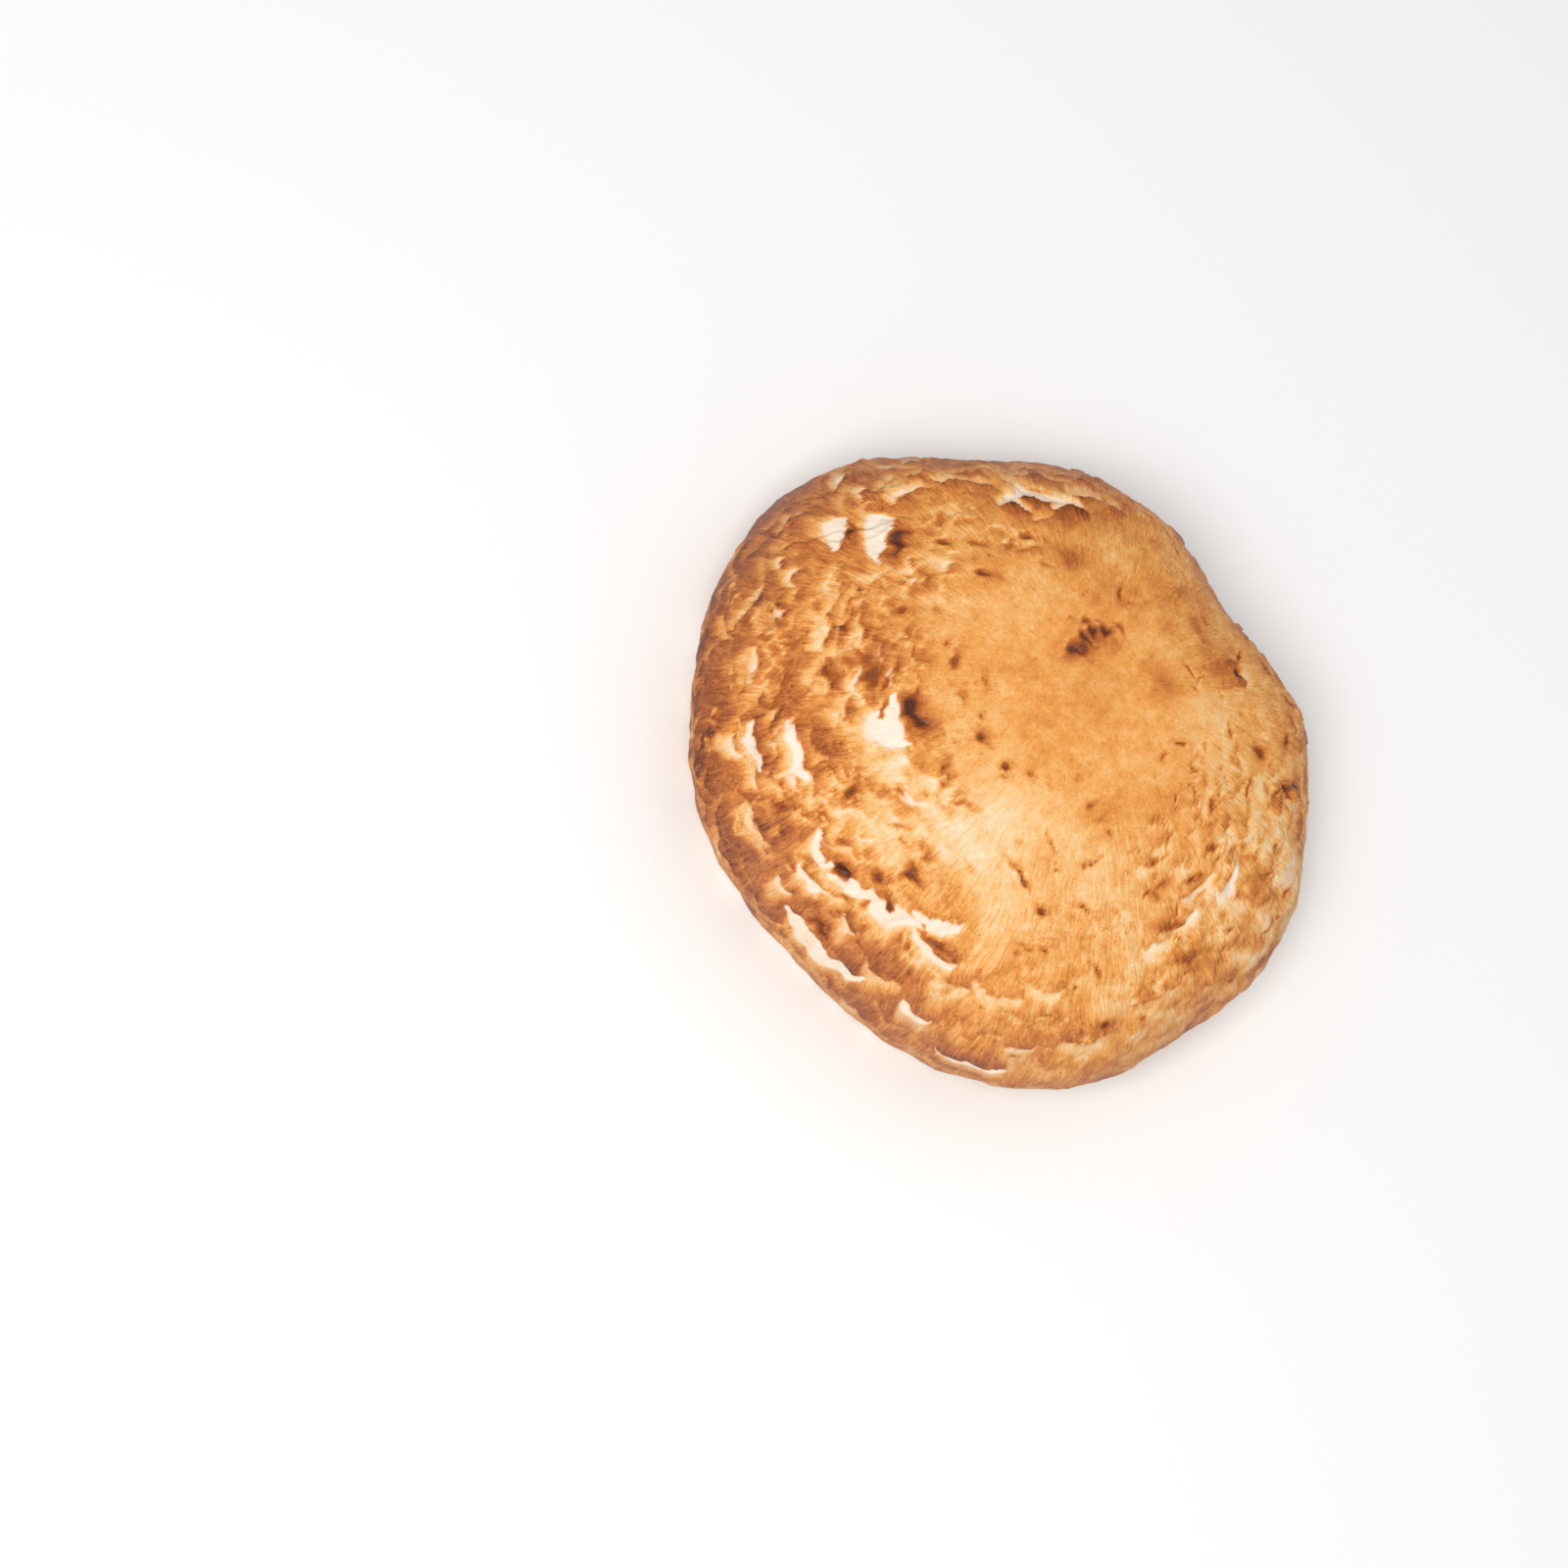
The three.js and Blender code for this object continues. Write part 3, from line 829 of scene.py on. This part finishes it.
@dataclass
class Cap:
    """The cap: its skinned dome, rolled rim and the flesh's underside, as one closed piece."""

    form: CapForm
    grid: int = 264
    outer_rows: int = 12
    inner_rows: int = 8
    roof_shares: tuple[float, ...] = (0.96, 0.88, 0.7, 0.4, 0.0)
    scale_rows: tuple[float, float, float] = (0.36, 1.16, 0.062)  # share of the way down: first, end, step
    scale_pitch: float = 4.6  # mm from scale to scale along a row
    # One value every 45 degrees from +X towards +Y: how scaly the skin is, and where the scales begin.
    scaliness: tuple[float, ...] = (0.30, 0.26, 0.50, 0.78, 0.82, 0.92, 0.60, 0.60)
    scales_from: tuple[float, ...] = (0.78, 0.80, 0.62, 0.46, 0.46, 0.56, 0.66, 0.50)

    def build(self) -> bpy.types.Object:
        """Makes the cap.

        Returns:
            The piece.
        """
        surface, bearing, way = self._plain()
        centre = self.form.centre
        radius = np.hypot(*(surface.points[:, :2] - centre).T)
        skin = Skin(self.form, bearing, way, surface.points.copy(), radius)
        self._ground(skin)
        self._undulate(skin)
        self._scales(skin)
        self._flakes(skin)
        for number, mark in enumerate(PATCHES):
            skin.patch(mark, 300 + number)
        for number, mark in enumerate(sorted(TEARS, key=lambda tear: -tear.share)):
            skin.tear(mark, 500 + number)
        self._puckers(skin)
        for number, mark in enumerate(PITS):
            skin.dent(mark, 700 + number)
        self._margin(skin)
        surface.points += surface.normals() * skin.height[:, None]
        surface.points[:, 2] = np.maximum(surface.points[:, 2], 0.0)
        surface.numbers = {
            # The fourth number is painted shade at the far edge.
            "tone": skin.tone, "flesh": skin.flesh, "pit": skin.pit, "limb_shade": skin.limb_shade,
            "hairy": 0.22 + 0.78 * smooth(0.12, 0.62, way),
        }
        return surface.to_piece("cap", CapFinish().build(self.form), "cap", "cap_skin")

    def _plain(self) -> tuple[Surface, Array, Array]:
        """Lays out the cap with no marks on it.

        The dome is a square grid drawn into a disc: a point's larger coordinate is its share of the way
        from crown to edge and its place along that square is its bearing. Rings follow from the edge,
        under the rim on two quarter ovals and over the gills, to a point above the stem.

        Returns:
            The surface, each point's bearing, and its share of the way down the skin.
        """
        form = self.form
        side = np.linspace(-1, 1, self.grid + 1)
        a, b = (axis.ravel() for axis in np.meshgrid(side, side, indexing="ij"))
        way = np.maximum(np.abs(a), np.abs(b))
        whole = np.maximum(way, 1e-9)
        bearing = np.where(
            np.abs(a) >= np.abs(b),
            np.where(a >= 0, b / whole, 4 - b / whole),
            np.where(b >= 0, 2 - a / whole, 6 + a / whole),
        ) * math.pi / 4
        shares, heights, ways = form.dome
        radius = form.radius(bearing) * np.interp(way, ways, shares)
        dome = self._at(bearing, radius, np.interp(way, ways, heights))

        count = self.grid + 1
        cell = np.arange(count * count).reshape(count, count)
        quads = np.stack([cell[:-1, :-1], cell[1:, :-1], cell[1:, 1:], cell[:-1, 1:]], -1).reshape(-1, 4)
        edge = np.concatenate([cell[-1, :-1], cell[::-1, -1][:-1], cell[0, ::-1][:-1], cell[:, 0][:-1]])
        columns = len(edge)

        bearings = bearing[edge]
        rim = self._rim_rows(bearings)
        under = np.concatenate([row for row, _ in rim])
        under_way = np.concatenate([np.full(columns, value) for _, value in rim])
        rows = len(rim)
        start = len(dome)
        ring = bands(columns, rows, start)
        after = np.roll(edge, -1)
        first = start + np.arange(columns)
        join = np.stack([edge, first, np.roll(first, -1), after], axis=-1)
        last = start + (rows - 1) * columns + np.arange(columns)
        pole = start + rows * columns
        fan = np.stack([last, np.full(columns, pole), np.roll(last, -1)], axis=-1)
        tip = np.array([[*form.centre, form.roof_height]])
        surface = Surface(np.concatenate([dome, under, tip]), np.concatenate([quads, join, ring]), fan)
        all_bearings = np.concatenate([bearing, np.tile(bearings, rows), [0.0]])
        return surface, all_bearings, np.concatenate([way, under_way, [2.0]])

    def _rim_rows(self, bearing: Array) -> list[tuple[Array, float]]:
        """Rings from the broadest line under the rim and over the gills, each with its way down the skin."""
        form = self.form
        edge = form.radius(bearing)
        lift = form.lift(bearing)
        rows: list[tuple[Array, float]] = []
        for step in range(1, self.outer_rows + 1):
            turn = math.pi / 2 * step / self.outer_rows
            radius = edge - form.lip_inset * (1 - math.cos(turn))
            height = form.widest_height * (1 - math.sin(turn)) + lift * math.sin(turn) ** 3
            rows.append((self._at(bearing, radius, height), 1 + 0.19 * step / self.outer_rows))
        for step in range(1, self.inner_rows + 1):
            turn = math.pi / 2 * step / self.inner_rows
            inset = form.lip_inset + (form.gill_inset - form.skin_inset - form.lip_inset) * math.sin(turn)
            height = form.gill_outer_height * (1 - math.cos(turn)) + lift * math.cos(turn)
            rows.append((self._at(bearing, edge - inset, height), 1.19 + 0.19 * step / self.inner_rows))
        for step, share in enumerate(self.roof_shares):
            radius = form.gill_reach(share, bearing)
            rows.append((self._at(bearing, radius, form.roof(np.full(len(bearing), share))),
                         1.45 + 0.1 * step))
        return rows

    def _at(self, bearing: Array, radius: Array, height: Array) -> Array:
        """Turns bearing, radius and height into points."""
        x, y = self.form.centre
        return np.stack([x + radius * np.cos(bearing), y + radius * np.sin(bearing), height], axis=-1)

    def _ground(self, skin: Skin) -> None:
        """Sets the skin's tone: golden on the crown and browner outward, partly the skin's own colour and
        partly painted shade at the limb, with a painted mauve-grey shade at the far edge.
        """
        way = skin.way
        # Painted shade with real colour: the outward darkening, with its last rise near the broadest line, is
        # partly the skin's own browner edge and partly painted shade at the limb.
        rim = periodic_curve((0.50, 0.62, 0.72, 0.75, 0.86, 0.68, 0.56, 0.48), skin.bearing)
        skin.tone = 0.50 + (rim - 0.50) * smooth(0.42, 0.98, way) + 0.08 * smooth(0.82, 1.05, way)
        skin.tone += 0.09 * skin.grain(9.0, 11) * smooth(0.2, 0.6, way) + 0.06 * skin.grain(3.0, 12)
        # Painted shade: a mauve-grey darkening of the far edge, strongest on the side away from the key
        # light, where the cap turns away from the lights.
        limb_shade_by_bearing = periodic_curve((0.60, 0.95, 1.00, 0.80, 0.12, 0.40, 0.35, 0.50), skin.bearing)
        skin.limb_shade = np.clip(limb_shade_by_bearing * smooth(0.64, 0.98, way) * (0.8 + 0.5 * skin.grain(7.0, 13)), 0, 1)

    def _undulate(self, skin: Skin) -> None:
        """Raises the flesh's soft lumps and hollows, stronger outward, and the dent by the narrow side."""
        grow = 0.25 + 0.75 * smooth(0.3, 0.8, skin.way)
        skin.height += 0.30 * skin.grain(16.0, 21, 2) * grow
        skin.height += 0.36 * skin.grain(6.0, 22, 2) * grow + 0.13 * skin.grain(2.4, 25, 2) * grow
        skin.height += 0.10 * skin.fibres(3.2, 11.0, 23) * grow
        dent = turned(skin.bearing, math.radians(30))
        skin.height -= 1.3 * np.exp(-((dent / 0.22) ** 2)) * smooth(0.45, 0.9, skin.way) * (skin.way < 1.4)
        ridge = np.sin((skin.way * skin.arc + 1.2 * skin.grain(8.0, 24, 2)) * TURN / 2.6)
        right = np.exp(-(turned(skin.bearing, 0.0) / 0.55) ** 2)
        skin.height += 0.10 * ridge * right * smooth(0.6, 0.8, skin.way)

    def _scales(self, skin: Skin) -> None:
        """Lays ragged scales over the outer skin, outermost first, so that inner ones overlap them."""
        random = np.random.default_rng(41)
        marks: list[Tear] = []
        for way in np.arange(*self.scale_rows):
            count = int(TURN * self.form.nominal_radius * min(way, 1.0) / self.scale_pitch)
            for step in range(count):
                bearing = (step + random.uniform(-0.45, 0.45)) * TURN / count
                here = float(way + random.uniform(-0.06, 0.06))
                marks.append(self._scale(bearing, here, random))
        marks.sort(key=lambda mark: -mark.share)
        for number, mark in enumerate(marks):
            if mark.tip > 0.05:
                skin.tear(mark, 900 + number)

    def _scale(self, bearing: float, way: float, random: np.random.Generator) -> Tear:
        """Draws one scale, its strength from the part of the cap that it lies on."""
        spot = np.array([bearing])
        strength = float(periodic_curve(self.scaliness, spot)[0])
        begin = float(periodic_curve(self.scales_from, spot)[0])
        strength *= float(smooth(begin - 0.12, begin + 0.14, np.array([way]))[0]) * random.uniform(0.35, 1.15)
        shares, _, ways = self.form.dome
        share = float(np.interp(way, ways, shares)) if way <= 1 else way
        return Tear(
            bearing=math.degrees(bearing), share=share, width=random.uniform(2.6, 8.5),
            reach=random.uniform(0.7, 2.8), white=max(0.0, strength * random.uniform(-0.9, 0.58)),
            tip=random.uniform(0.15, 0.62) * strength, tip_length=random.uniform(0.8, 3.0),
            lift=0.75 * strength * (1 - 0.75 * float(smooth(0.80, 0.98, np.array([way]))[0])),
            bow=random.uniform(-0.6, 2.6), slant=random.normal(0, 0.6), rag=random.uniform(0.4, 1.0),
            cream=random.uniform(0.12, 0.42),
        )

    def _flakes(self, skin: Skin) -> None:
        """Lifts short pale flakes with sharp dark tips over the scaly side, among the longer scales."""
        random = np.random.default_rng(47)
        for number in range(120):
            mark = Tear(random.normal(190, 34), random.uniform(0.52, 0.96), random.uniform(2.2, 6.0),
                        random.uniform(0.9, 2.6), random.uniform(0.1, 0.66), random.uniform(0.35, 0.8),
                        random.uniform(0.7, 1.8), random.uniform(0.2, 0.5), random.uniform(-0.5, 1.4),
                        random.uniform(-0.7, 0.7), 0.8, random.uniform(0.05, 0.22))
            skin.tear(mark, 2200 + number)

    def _puckers(self, skin: Skin) -> None:
        """Puckers the lower right in soft pale lumps with short cracks, and flecks the rest with dark."""
        random = np.random.default_rng(43)
        aside = turned(skin.bearing, math.radians(312)) / 0.62
        here = np.exp(-(aside**2)) * smooth(0.42, 0.62, skin.way) * (1 - smooth(0.92, 1.1, skin.way))
        lump = skin.grain(3.6, 26, 2) + 0.5 * skin.grain(1.7, 27, 2)
        skin.height += 0.30 * lump * here
        skin.tone -= (0.26 * lump + 0.03) * here
        for number in range(34):
            mark = Tear(random.uniform(275, 345), random.uniform(0.46, 0.9), random.uniform(2.5, 6.5),
                        random.uniform(0.8, 2.4), random.uniform(0.0, 0.35), random.uniform(0.15, 0.5),
                        random.uniform(0.5, 1.4), random.uniform(0.1, 0.35), random.uniform(-0.8, 1.5),
                        random.uniform(-0.6, 0.6), 0.5, random.uniform(0.05, 0.3))
            skin.tear(mark, 1500 + number)
        for number in range(75):
            mark = Pit(random.normal(308, 26), random.uniform(0.40, 0.92), random.uniform(1.2, 4.2),
                       random.uniform(0.4, 0.8), random.uniform(-50, 70), random.uniform(0.35, 0.8), 0.2, 0.5)
            skin.dent(mark, 1600 + number)
        for number in range(95):
            mark = Pit(random.normal(182, 40), random.uniform(0.46, 1.0), random.uniform(1.2, 4.6),
                       random.uniform(0.8, 2.4), random.uniform(-50, 50), random.uniform(0.25, 0.62),
                       0.25, 0.55)
            skin.dent(mark, 2000 + number)
        for number in range(34):
            mark = Tear(random.uniform(-35, 115), random.uniform(0.84, 0.99), random.uniform(2.0, 4.5),
                        0.5, 0.0, random.uniform(0.4, 0.9), random.uniform(0.8, 1.8),
                        random.uniform(0.3, 0.6), 1.0, 0.0, 0.3)
            skin.tear(mark, 1900 + number)
        for number in range(110):
            size = random.uniform(0.5, 1.3)
            mark = Pit(random.uniform(0, 360), random.uniform(0.3, 0.99), size * random.uniform(1, 2.2), size,
                       random.uniform(-60, 60), random.uniform(0.3, 0.75), 0.25, 0.15)
            skin.dent(mark, 1700 + number)

    def _margin(self, skin: Skin) -> None:
        """Ends the skin in a ragged line under the rim and bares white flesh from there to the gills."""
        line = 1.10 + 0.035 * skin.grain(5.0, 31) + 0.03 * skin.fibres(1.6, 30.0, 32)
        under = smooth(-0.012, 0.03, skin.way - line)
        skin.flesh = np.maximum(skin.flesh * (1 - under), under)
        skin.tone += (0.12 - skin.tone) * smooth(-0.07, 0.02, skin.way - line) * 0.6
        roof = smooth(1.36, 1.40, skin.way)
        skin.flesh *= 1 - roof
        skin.pit = np.maximum(skin.pit * (1 - under), roof)
        skin.height *= 1 - smooth(1.2, 1.36, skin.way)


# -------------------------------------------------------------------------------- gills and stem


@dataclass
class Gills:
    """The gills: thin blades of three lengths that hang from the flesh between stem and rim."""

    form: CapForm
    full_count: int = 76
    stations: int = 12
    thickness: float = 0.42
    edge_inner_height: float = 10.6
    edge_outer_height: float = 8.9

    def build(self) -> bpy.types.Object:
        """Makes all the blades as one piece.

        Returns:
            The piece.
        """
        count = 4 * self.full_count
        blades = [self._blade(number, count) for number in range(count)]
        size = len(blades[0][0])
        points = np.concatenate([blade[0] for blade in blades])
        edge = np.concatenate([blade[1] for blade in blades])
        faces = self._faces()
        quads = np.concatenate([faces + number * size for number in range(count)])
        surface = Surface(points, quads, numbers={"edge": edge})
        return surface.to_piece("gills", self._finish(), "gills", "gill_flesh")

    def _blade(self, number: int, count: int) -> tuple[Array, Array]:
        """Shapes one blade.

        Its path runs outward along a bearing with a sideways sine. Six points round its section, two at
        the flesh, two half-way and two at the free edge, follow the path; the ends close in a line.
        """
        noise = Noise(60 + number % 7)
        kind = 0 if number % 4 == 0 else (1 if number % 4 == 2 else 2)
        inner = (0.0, 0.30, 0.58)[kind] + 0.05 * float(noise.at(np.array([number * 0.37]))[0])
        t = np.linspace(0, 1, self.stations)
        share = np.clip(inner + (1 - inner) * t, 0, 1)
        bearing = np.full(self.stations, TURN * number / count)
        reach = self.form.gill_reach(share, bearing)
        sway = 0.35 * noise.at(reach / 9.0, number * 0.21) + 0.12 * noise.at(reach / 3.0, number * 0.9)
        top = self.form.roof(share) + 0.25
        free = self.edge_inner_height + (self.edge_outer_height - self.edge_inner_height) * share**2
        free = free + 0.25 * noise.at(reach / 6.0, number * 1.3)
        rise = smooth(0.0, (0.10, 0.30, 0.35)[kind], t) * (1 - 0.98 * smooth(0.93, 1.0, t))
        free = top + (np.minimum(free, top - 0.4) - top) * np.maximum(rise, 0.03)
        middle = (top + free) / 2
        ends = np.minimum(1, 12 * np.minimum(t, 1 - t) + 0.05)
        half = self.thickness / 2 * ends
        section = ((top, -1.0, 1.0), (middle, -1.0, 0.6), (free, -0.45, 0.0),
                   (free, 0.45, 0.0), (middle, 1.0, 0.6), (top, 1.0, 1.0))
        x, y = self.form.centre
        cos, sin = np.cos(bearing), np.sin(bearing)
        rows, depth = [], []
        for height, side, deep in section:
            across = sway * (1.2 - deep) + side * half
            rows.append(np.stack([x + reach * cos - across * sin,
                                  y + reach * sin + across * cos, height], -1))
            depth.append(np.full(self.stations, 1 - deep))
        return np.stack(rows, axis=1).reshape(-1, 3), np.stack(depth, axis=1).ravel()

    def _faces(self) -> Array:
        """Joins a blade's sections, and closes its two ends."""
        round_count = 6
        along, around = np.meshgrid(np.arange(self.stations - 1), np.arange(round_count), indexing="ij")
        after = (around + 1) % round_count
        here, then = along * round_count, (along + 1) * round_count
        sides = np.stack([here + around, then + around, then + after, here + after], -1).reshape(-1, 4)
        last = (self.stations - 1) * round_count
        ends = np.array([[0, 1, 4, 5], [1, 2, 3, 4], [last + 5, last + 4, last + 1, last],
                         [last + 4, last + 3, last + 2, last + 1]])
        return np.concatenate([sides, ends])

    @staticmethod
    def _finish() -> Shader:
        """Dark chocolate blades with paler, pinkish free edges."""
        shader = Shader("gill_flesh")
        place = shader.place()
        mottle = shader.noise(place, 260.0, 4.0)
        fine = shader.noise(place, 1300.0, 3.0)
        edge = (shader.attribute("edge") + mottle * 0.25).rise(0.62, 1.0)
        dark = shader.ramp((0.5 + mottle * 1.3).clamp(), (
            (0.0, srgb(40, 20, 16)), (0.5, srgb(66, 37, 29)), (1.0, srgb(92, 56, 44))))
        shader.drive(
            Base_Color=shader.mix(dark, srgb(150, 112, 96), edge * 0.8),
            Normal=shader.bump(fine * 0.6 + mottle, 0.15 * MM, 0.7),
        )
        shader.set(Roughness=0.55, Specular_IOR_Level=0.4)
        return shader


@dataclass
class Stem:
    """The stem's stub: a waisted oval column with a trimmed lower face, off-centre torn ridge and hollow."""

    form: CapForm
    columns: int = 192
    side_rows: int = 34
    face_rows: int = 40
    radius: float = 13.5
    cut_height: float = 2.5
    ovalness: float = 1.05
    corner: float = 0.7

    def build(self) -> bpy.types.Object:
        """Makes the stem: rings down its side, round the cut's edge and in over the face to a point.

        Returns:
            The piece.
        """
        bearing = TURN * np.arange(self.columns) / self.columns
        rows: list[Array] = []
        face: list[Array] = []
        side: list[float] = []
        top = self.form.roof_height + 0.3
        for step in range(self.side_rows):
            t = step / (self.side_rows - 1)
            height = top + (self.cut_height + self.corner - top) * t
            radius = self.radius - 0.4 * math.sin(math.pi * t) + 1.4 * (1 - t) ** 3
            rows.append(self._ring(bearing, radius, height, 1.0))
            side.append(1.0)
        for step in range(1, self.face_rows):
            t = step / self.face_rows
            turn = min(1.0, t * 8) * math.pi / 2
            radius = (self.radius - self.corner * (1 - math.cos(turn))) * (1 - max(0.0, t - 0.125) / 0.875)
            height = self.cut_height + self.corner * (1 - math.sin(turn))
            rows.append(self._ring(bearing, radius, height, max(0.0, 1 - t)))
            side.append(1.0 - smooth(0.02, 0.10, np.array([t]))[0])
        x, y = self.form.centre
        points = np.concatenate([*rows, [[x, y, self.cut_height]], [[x, y, top]]])
        count = len(rows)
        low, high = count * self.columns, count * self.columns + 1
        last = (count - 1) * self.columns + np.arange(self.columns)
        first = np.arange(self.columns)
        fans = np.concatenate([
            np.stack([last, np.full(self.columns, low), np.roll(last, -1)], -1),
            np.stack([first, np.roll(first, -1), np.full(self.columns, high)], -1),
        ])
        skin = np.concatenate([np.repeat(side, self.columns), [0.0, 1.0]])
        surface = Surface(points, bands(self.columns, count), fans)
        ridge, hollow = self._tear(surface, skin)
        surface.numbers = {"side": skin, "ridge": ridge, "hollow": hollow}
        return surface.to_piece("stem", self._finish(), "stem", "stem_flesh")

    def _ring(self, bearing: Array, radius: float, height: float, ripple: float) -> Array:
        """One ring: an oval with shallow furrows, given as a sum of sines of the bearing."""
        furrow = 0.22 * np.sin(9 * bearing + 0.4) + 0.14 * np.sin(17 * bearing + 1.9)
        out = radius + furrow * ripple * min(1.0, radius / 6)
        x, y = self.form.centre
        return np.stack([
            x + out * self.ovalness * np.cos(bearing), y + out / self.ovalness * np.sin(bearing),
            np.full(len(bearing), height),
        ], axis=-1)

    def _tear(self, surface: Surface, side: Array) -> tuple[Array, Array]:
        """Shapes the cut face: a torn ridge along a bent line, a crack in it and a small round hollow."""
        x, y = (surface.points[:, :2] - self.form.centre).T
        z = surface.points[:, 2]
        face = (1 - side) * (z < self.cut_height + 1.5)
        noise = Noise(81)
        line = y - 0.35 * x + 2.2 + 1.1 * noise.at(x / 3.0, 0.5)
        along = smooth(-8.5, -5.5, x) * (1 - smooth(3.5, 7.0, x))
        ridge = np.exp(-((line / 1.5) ** 2)) * along * face
        crack = np.exp(-(((line + 0.6) / 0.4) ** 2)) * along * face
        distance = np.hypot(x - 6.5, y + 6.0) * (1 + 0.12 * noise.at(x, y))
        hollow = (1 - smooth(0.9, 1.7, distance)) * face
        grain = 0.14 * noise.layered(x / 2.2, y / 2.2) * face
        surface.points[:, 2] += -1.1 * ridge + 1.5 * crack + 1.4 * hollow + grain
        return np.clip(ridge * 1.3 - crack, 0, 1), np.maximum(hollow, crack)

    @staticmethod
    def _finish() -> Shader:
        """Peach cut flesh with a brown line round it, a white torn ridge, and a fibrous grey-brown side."""
        shader = Shader("stem_flesh")
        place = shader.place()
        mottle = shader.noise(place, 190.0, 4.0)
        fine = shader.noise(place, 1100.0, 4.0, 0.65)
        drawn = shader.node("ShaderNodeMapping", None, {"Vector": place, "Scale": (1.0, 1.0, 0.12)})
        strand = shader.noise(drawn, 900.0, 3.0)
        side = shader.attribute("side")
        ridge = shader.attribute("ridge")
        hollow = shader.attribute("hollow")
        cut = shader.ramp((0.5 + mottle * 1.2 + fine * 0.5).clamp(), (
            (0.0, srgb(196, 138, 96)), (0.5, srgb(223, 172, 130)), (1.0, srgb(240, 204, 168))))
        cut = shader.mix(cut, srgb(252, 242, 226), (ridge + fine * 0.3).rise(0.25, 0.7))
        bark = shader.ramp((0.5 + strand * 1.3 + mottle * 0.6).clamp(), (
            (0.0, srgb(92, 62, 48)), (0.5, srgb(136, 100, 80)), (1.0, srgb(186, 152, 128))))
        skin = (side + fine * 0.3).rise(0.35, 0.75)
        rim = (side.rise(0.05, 0.5) * (1 - side.rise(0.6, 0.98))).clamp()
        colour = shader.mix(cut, bark, skin)
        colour = shader.mix(colour, srgb(118, 66, 38), rim * 0.8)
        colour = shader.mix(colour, srgb(70, 34, 20), hollow.rise(0.3, 0.9))
        shader.drive(Base_Color=colour, Normal=shader.bump(fine + strand * side * 1.5, 0.25 * MM, 0.8))
        shader.set(Roughness=0.6, Subsurface_Weight=0.2, Subsurface_Radius=(1.0, 0.5, 0.25),
                   Subsurface_Scale=1.5 * MM, Specular_IOR_Level=0.35)
        return shader


# -------------------------------------------------------------------------------- studio


class Softness(Enum):
    """How large a studio light is, as its width in metres."""

    BROAD = 1.1
    MEDIUM = 0.5


@dataclass(frozen=True)
class Light:
    """A square studio light."""

    name: str
    bearing: float  # degrees
    elevation: float  # degrees
    distance: float  # m
    power: float  # W
    softness: Softness
    colour: tuple[float, float, float] = (1.0, 1.0, 1.0)


@dataclass
class Studio:
    """A pale floor, soft lights and the camera, which looks down on the cap from its lower left."""

    tilt: float = 20.0
    bearing: float = 225.0
    distance: float = 0.8
    aim: tuple[float, float, float] = (-0.002, -0.0017, 0.015)
    beside: float = 0.0392  # how far the camera stands to the left of the line to aim
    below: float = 0.0018
    lens: float = 100.0
    sensor_width: float = 36.0
    floor_size: float = 6.0
    room_strength: float = 0.48
    lights: tuple[Light, ...] = (
        Light("key", 218.0, 60.0, 0.9, 5.3, Softness.MEDIUM, (1.0, 0.985, 0.96)),
        Light("fill", 40.0, 60.0, 1.1, 1.9, Softness.BROAD, (0.97, 0.985, 1.0)),
    )

    def camera(self) -> bpy.types.Object:
        """Sets the camera. Its sideways axis is +Y crossed with the line of sight."""
        tilt, bearing = math.radians(self.tilt), math.radians(self.bearing)
        back = Vector((math.sin(tilt) * math.cos(bearing), math.sin(tilt) * math.sin(bearing),
                       math.cos(tilt)))
        right = Vector((0, 1, 0)).cross(back).normalized()
        up = back.cross(right)
        stand = Vector(self.aim) + back * self.distance - right * self.beside - up * self.below
        data = bpy.data.cameras.new("camera")
        data.lens = self.lens
        data.sensor_width = self.sensor_width
        camera = bpy.data.objects.new("camera", data)
        camera.matrix_world = Matrix((
            (right.x, up.x, back.x, stand.x),
            (right.y, up.y, back.y, stand.y),
            (right.z, up.z, back.z, stand.z),
            (0, 0, 0, 1),
        ))
        bpy.context.scene.collection.objects.link(camera)
        bpy.context.scene.camera = camera
        return camera

    def floor(self) -> bpy.types.Object:
        """Lays the plain pale floor."""
        half = self.floor_size / 2
        mesh = bpy.data.meshes.new("floor")
        corners = [(-half, -half, 0), (half, -half, 0), (half, half, 0), (-half, half, 0)]
        mesh.from_pydata(corners, [], [(0, 1, 2, 3)])
        shader = Shader("floor_paper")
        shader.set(Base_Color=(0.9, 0.9, 0.9, 1.0), Roughness=0.9, Specular_IOR_Level=0.1)
        mesh.materials.append(shader.material)
        floor = bpy.data.objects.new("floor", mesh)
        bpy.context.scene.collection.objects.link(floor)
        return floor

    def light(self) -> None:
        """Hangs the lights, each facing the middle of the floor, and lights the room evenly."""
        for light in self.lights:
            data = bpy.data.lights.new(light.name, "AREA")
            data.energy = light.power
            data.size = light.softness.value
            data.color = light.colour
            lamp = bpy.data.objects.new(light.name, data)
            around, rise = math.radians(light.bearing), math.radians(light.elevation)
            where = Vector((math.cos(rise) * math.cos(around), math.cos(rise) * math.sin(around),
                            math.sin(rise)))
            lamp.location = where * light.distance
            lamp.rotation_euler = where.to_track_quat("Z", "Y").to_euler()
            bpy.context.scene.collection.objects.link(lamp)
        world = bpy.data.worlds.new("room")
        world.use_nodes = True
        background = world.node_tree.nodes["Background"]
        background.inputs["Color"].default_value = (1.0, 1.0, 1.0, 1.0)
        background.inputs["Strength"].default_value = self.room_strength
        bpy.context.scene.world = world
        bpy.context.scene.view_settings.view_transform = "Standard"


def main() -> None:
    """Builds the studio and the mushroom, in order."""
    logging.basicConfig(level=logging.INFO, format="%(message)s")
    studio = Studio()
    studio.camera()
    studio.floor()
    studio.light()
    form = CapForm()
    Cap(form).build()
    Gills(form).build()
    Stem(form).build()


if __name__ == "__main__":
    main()
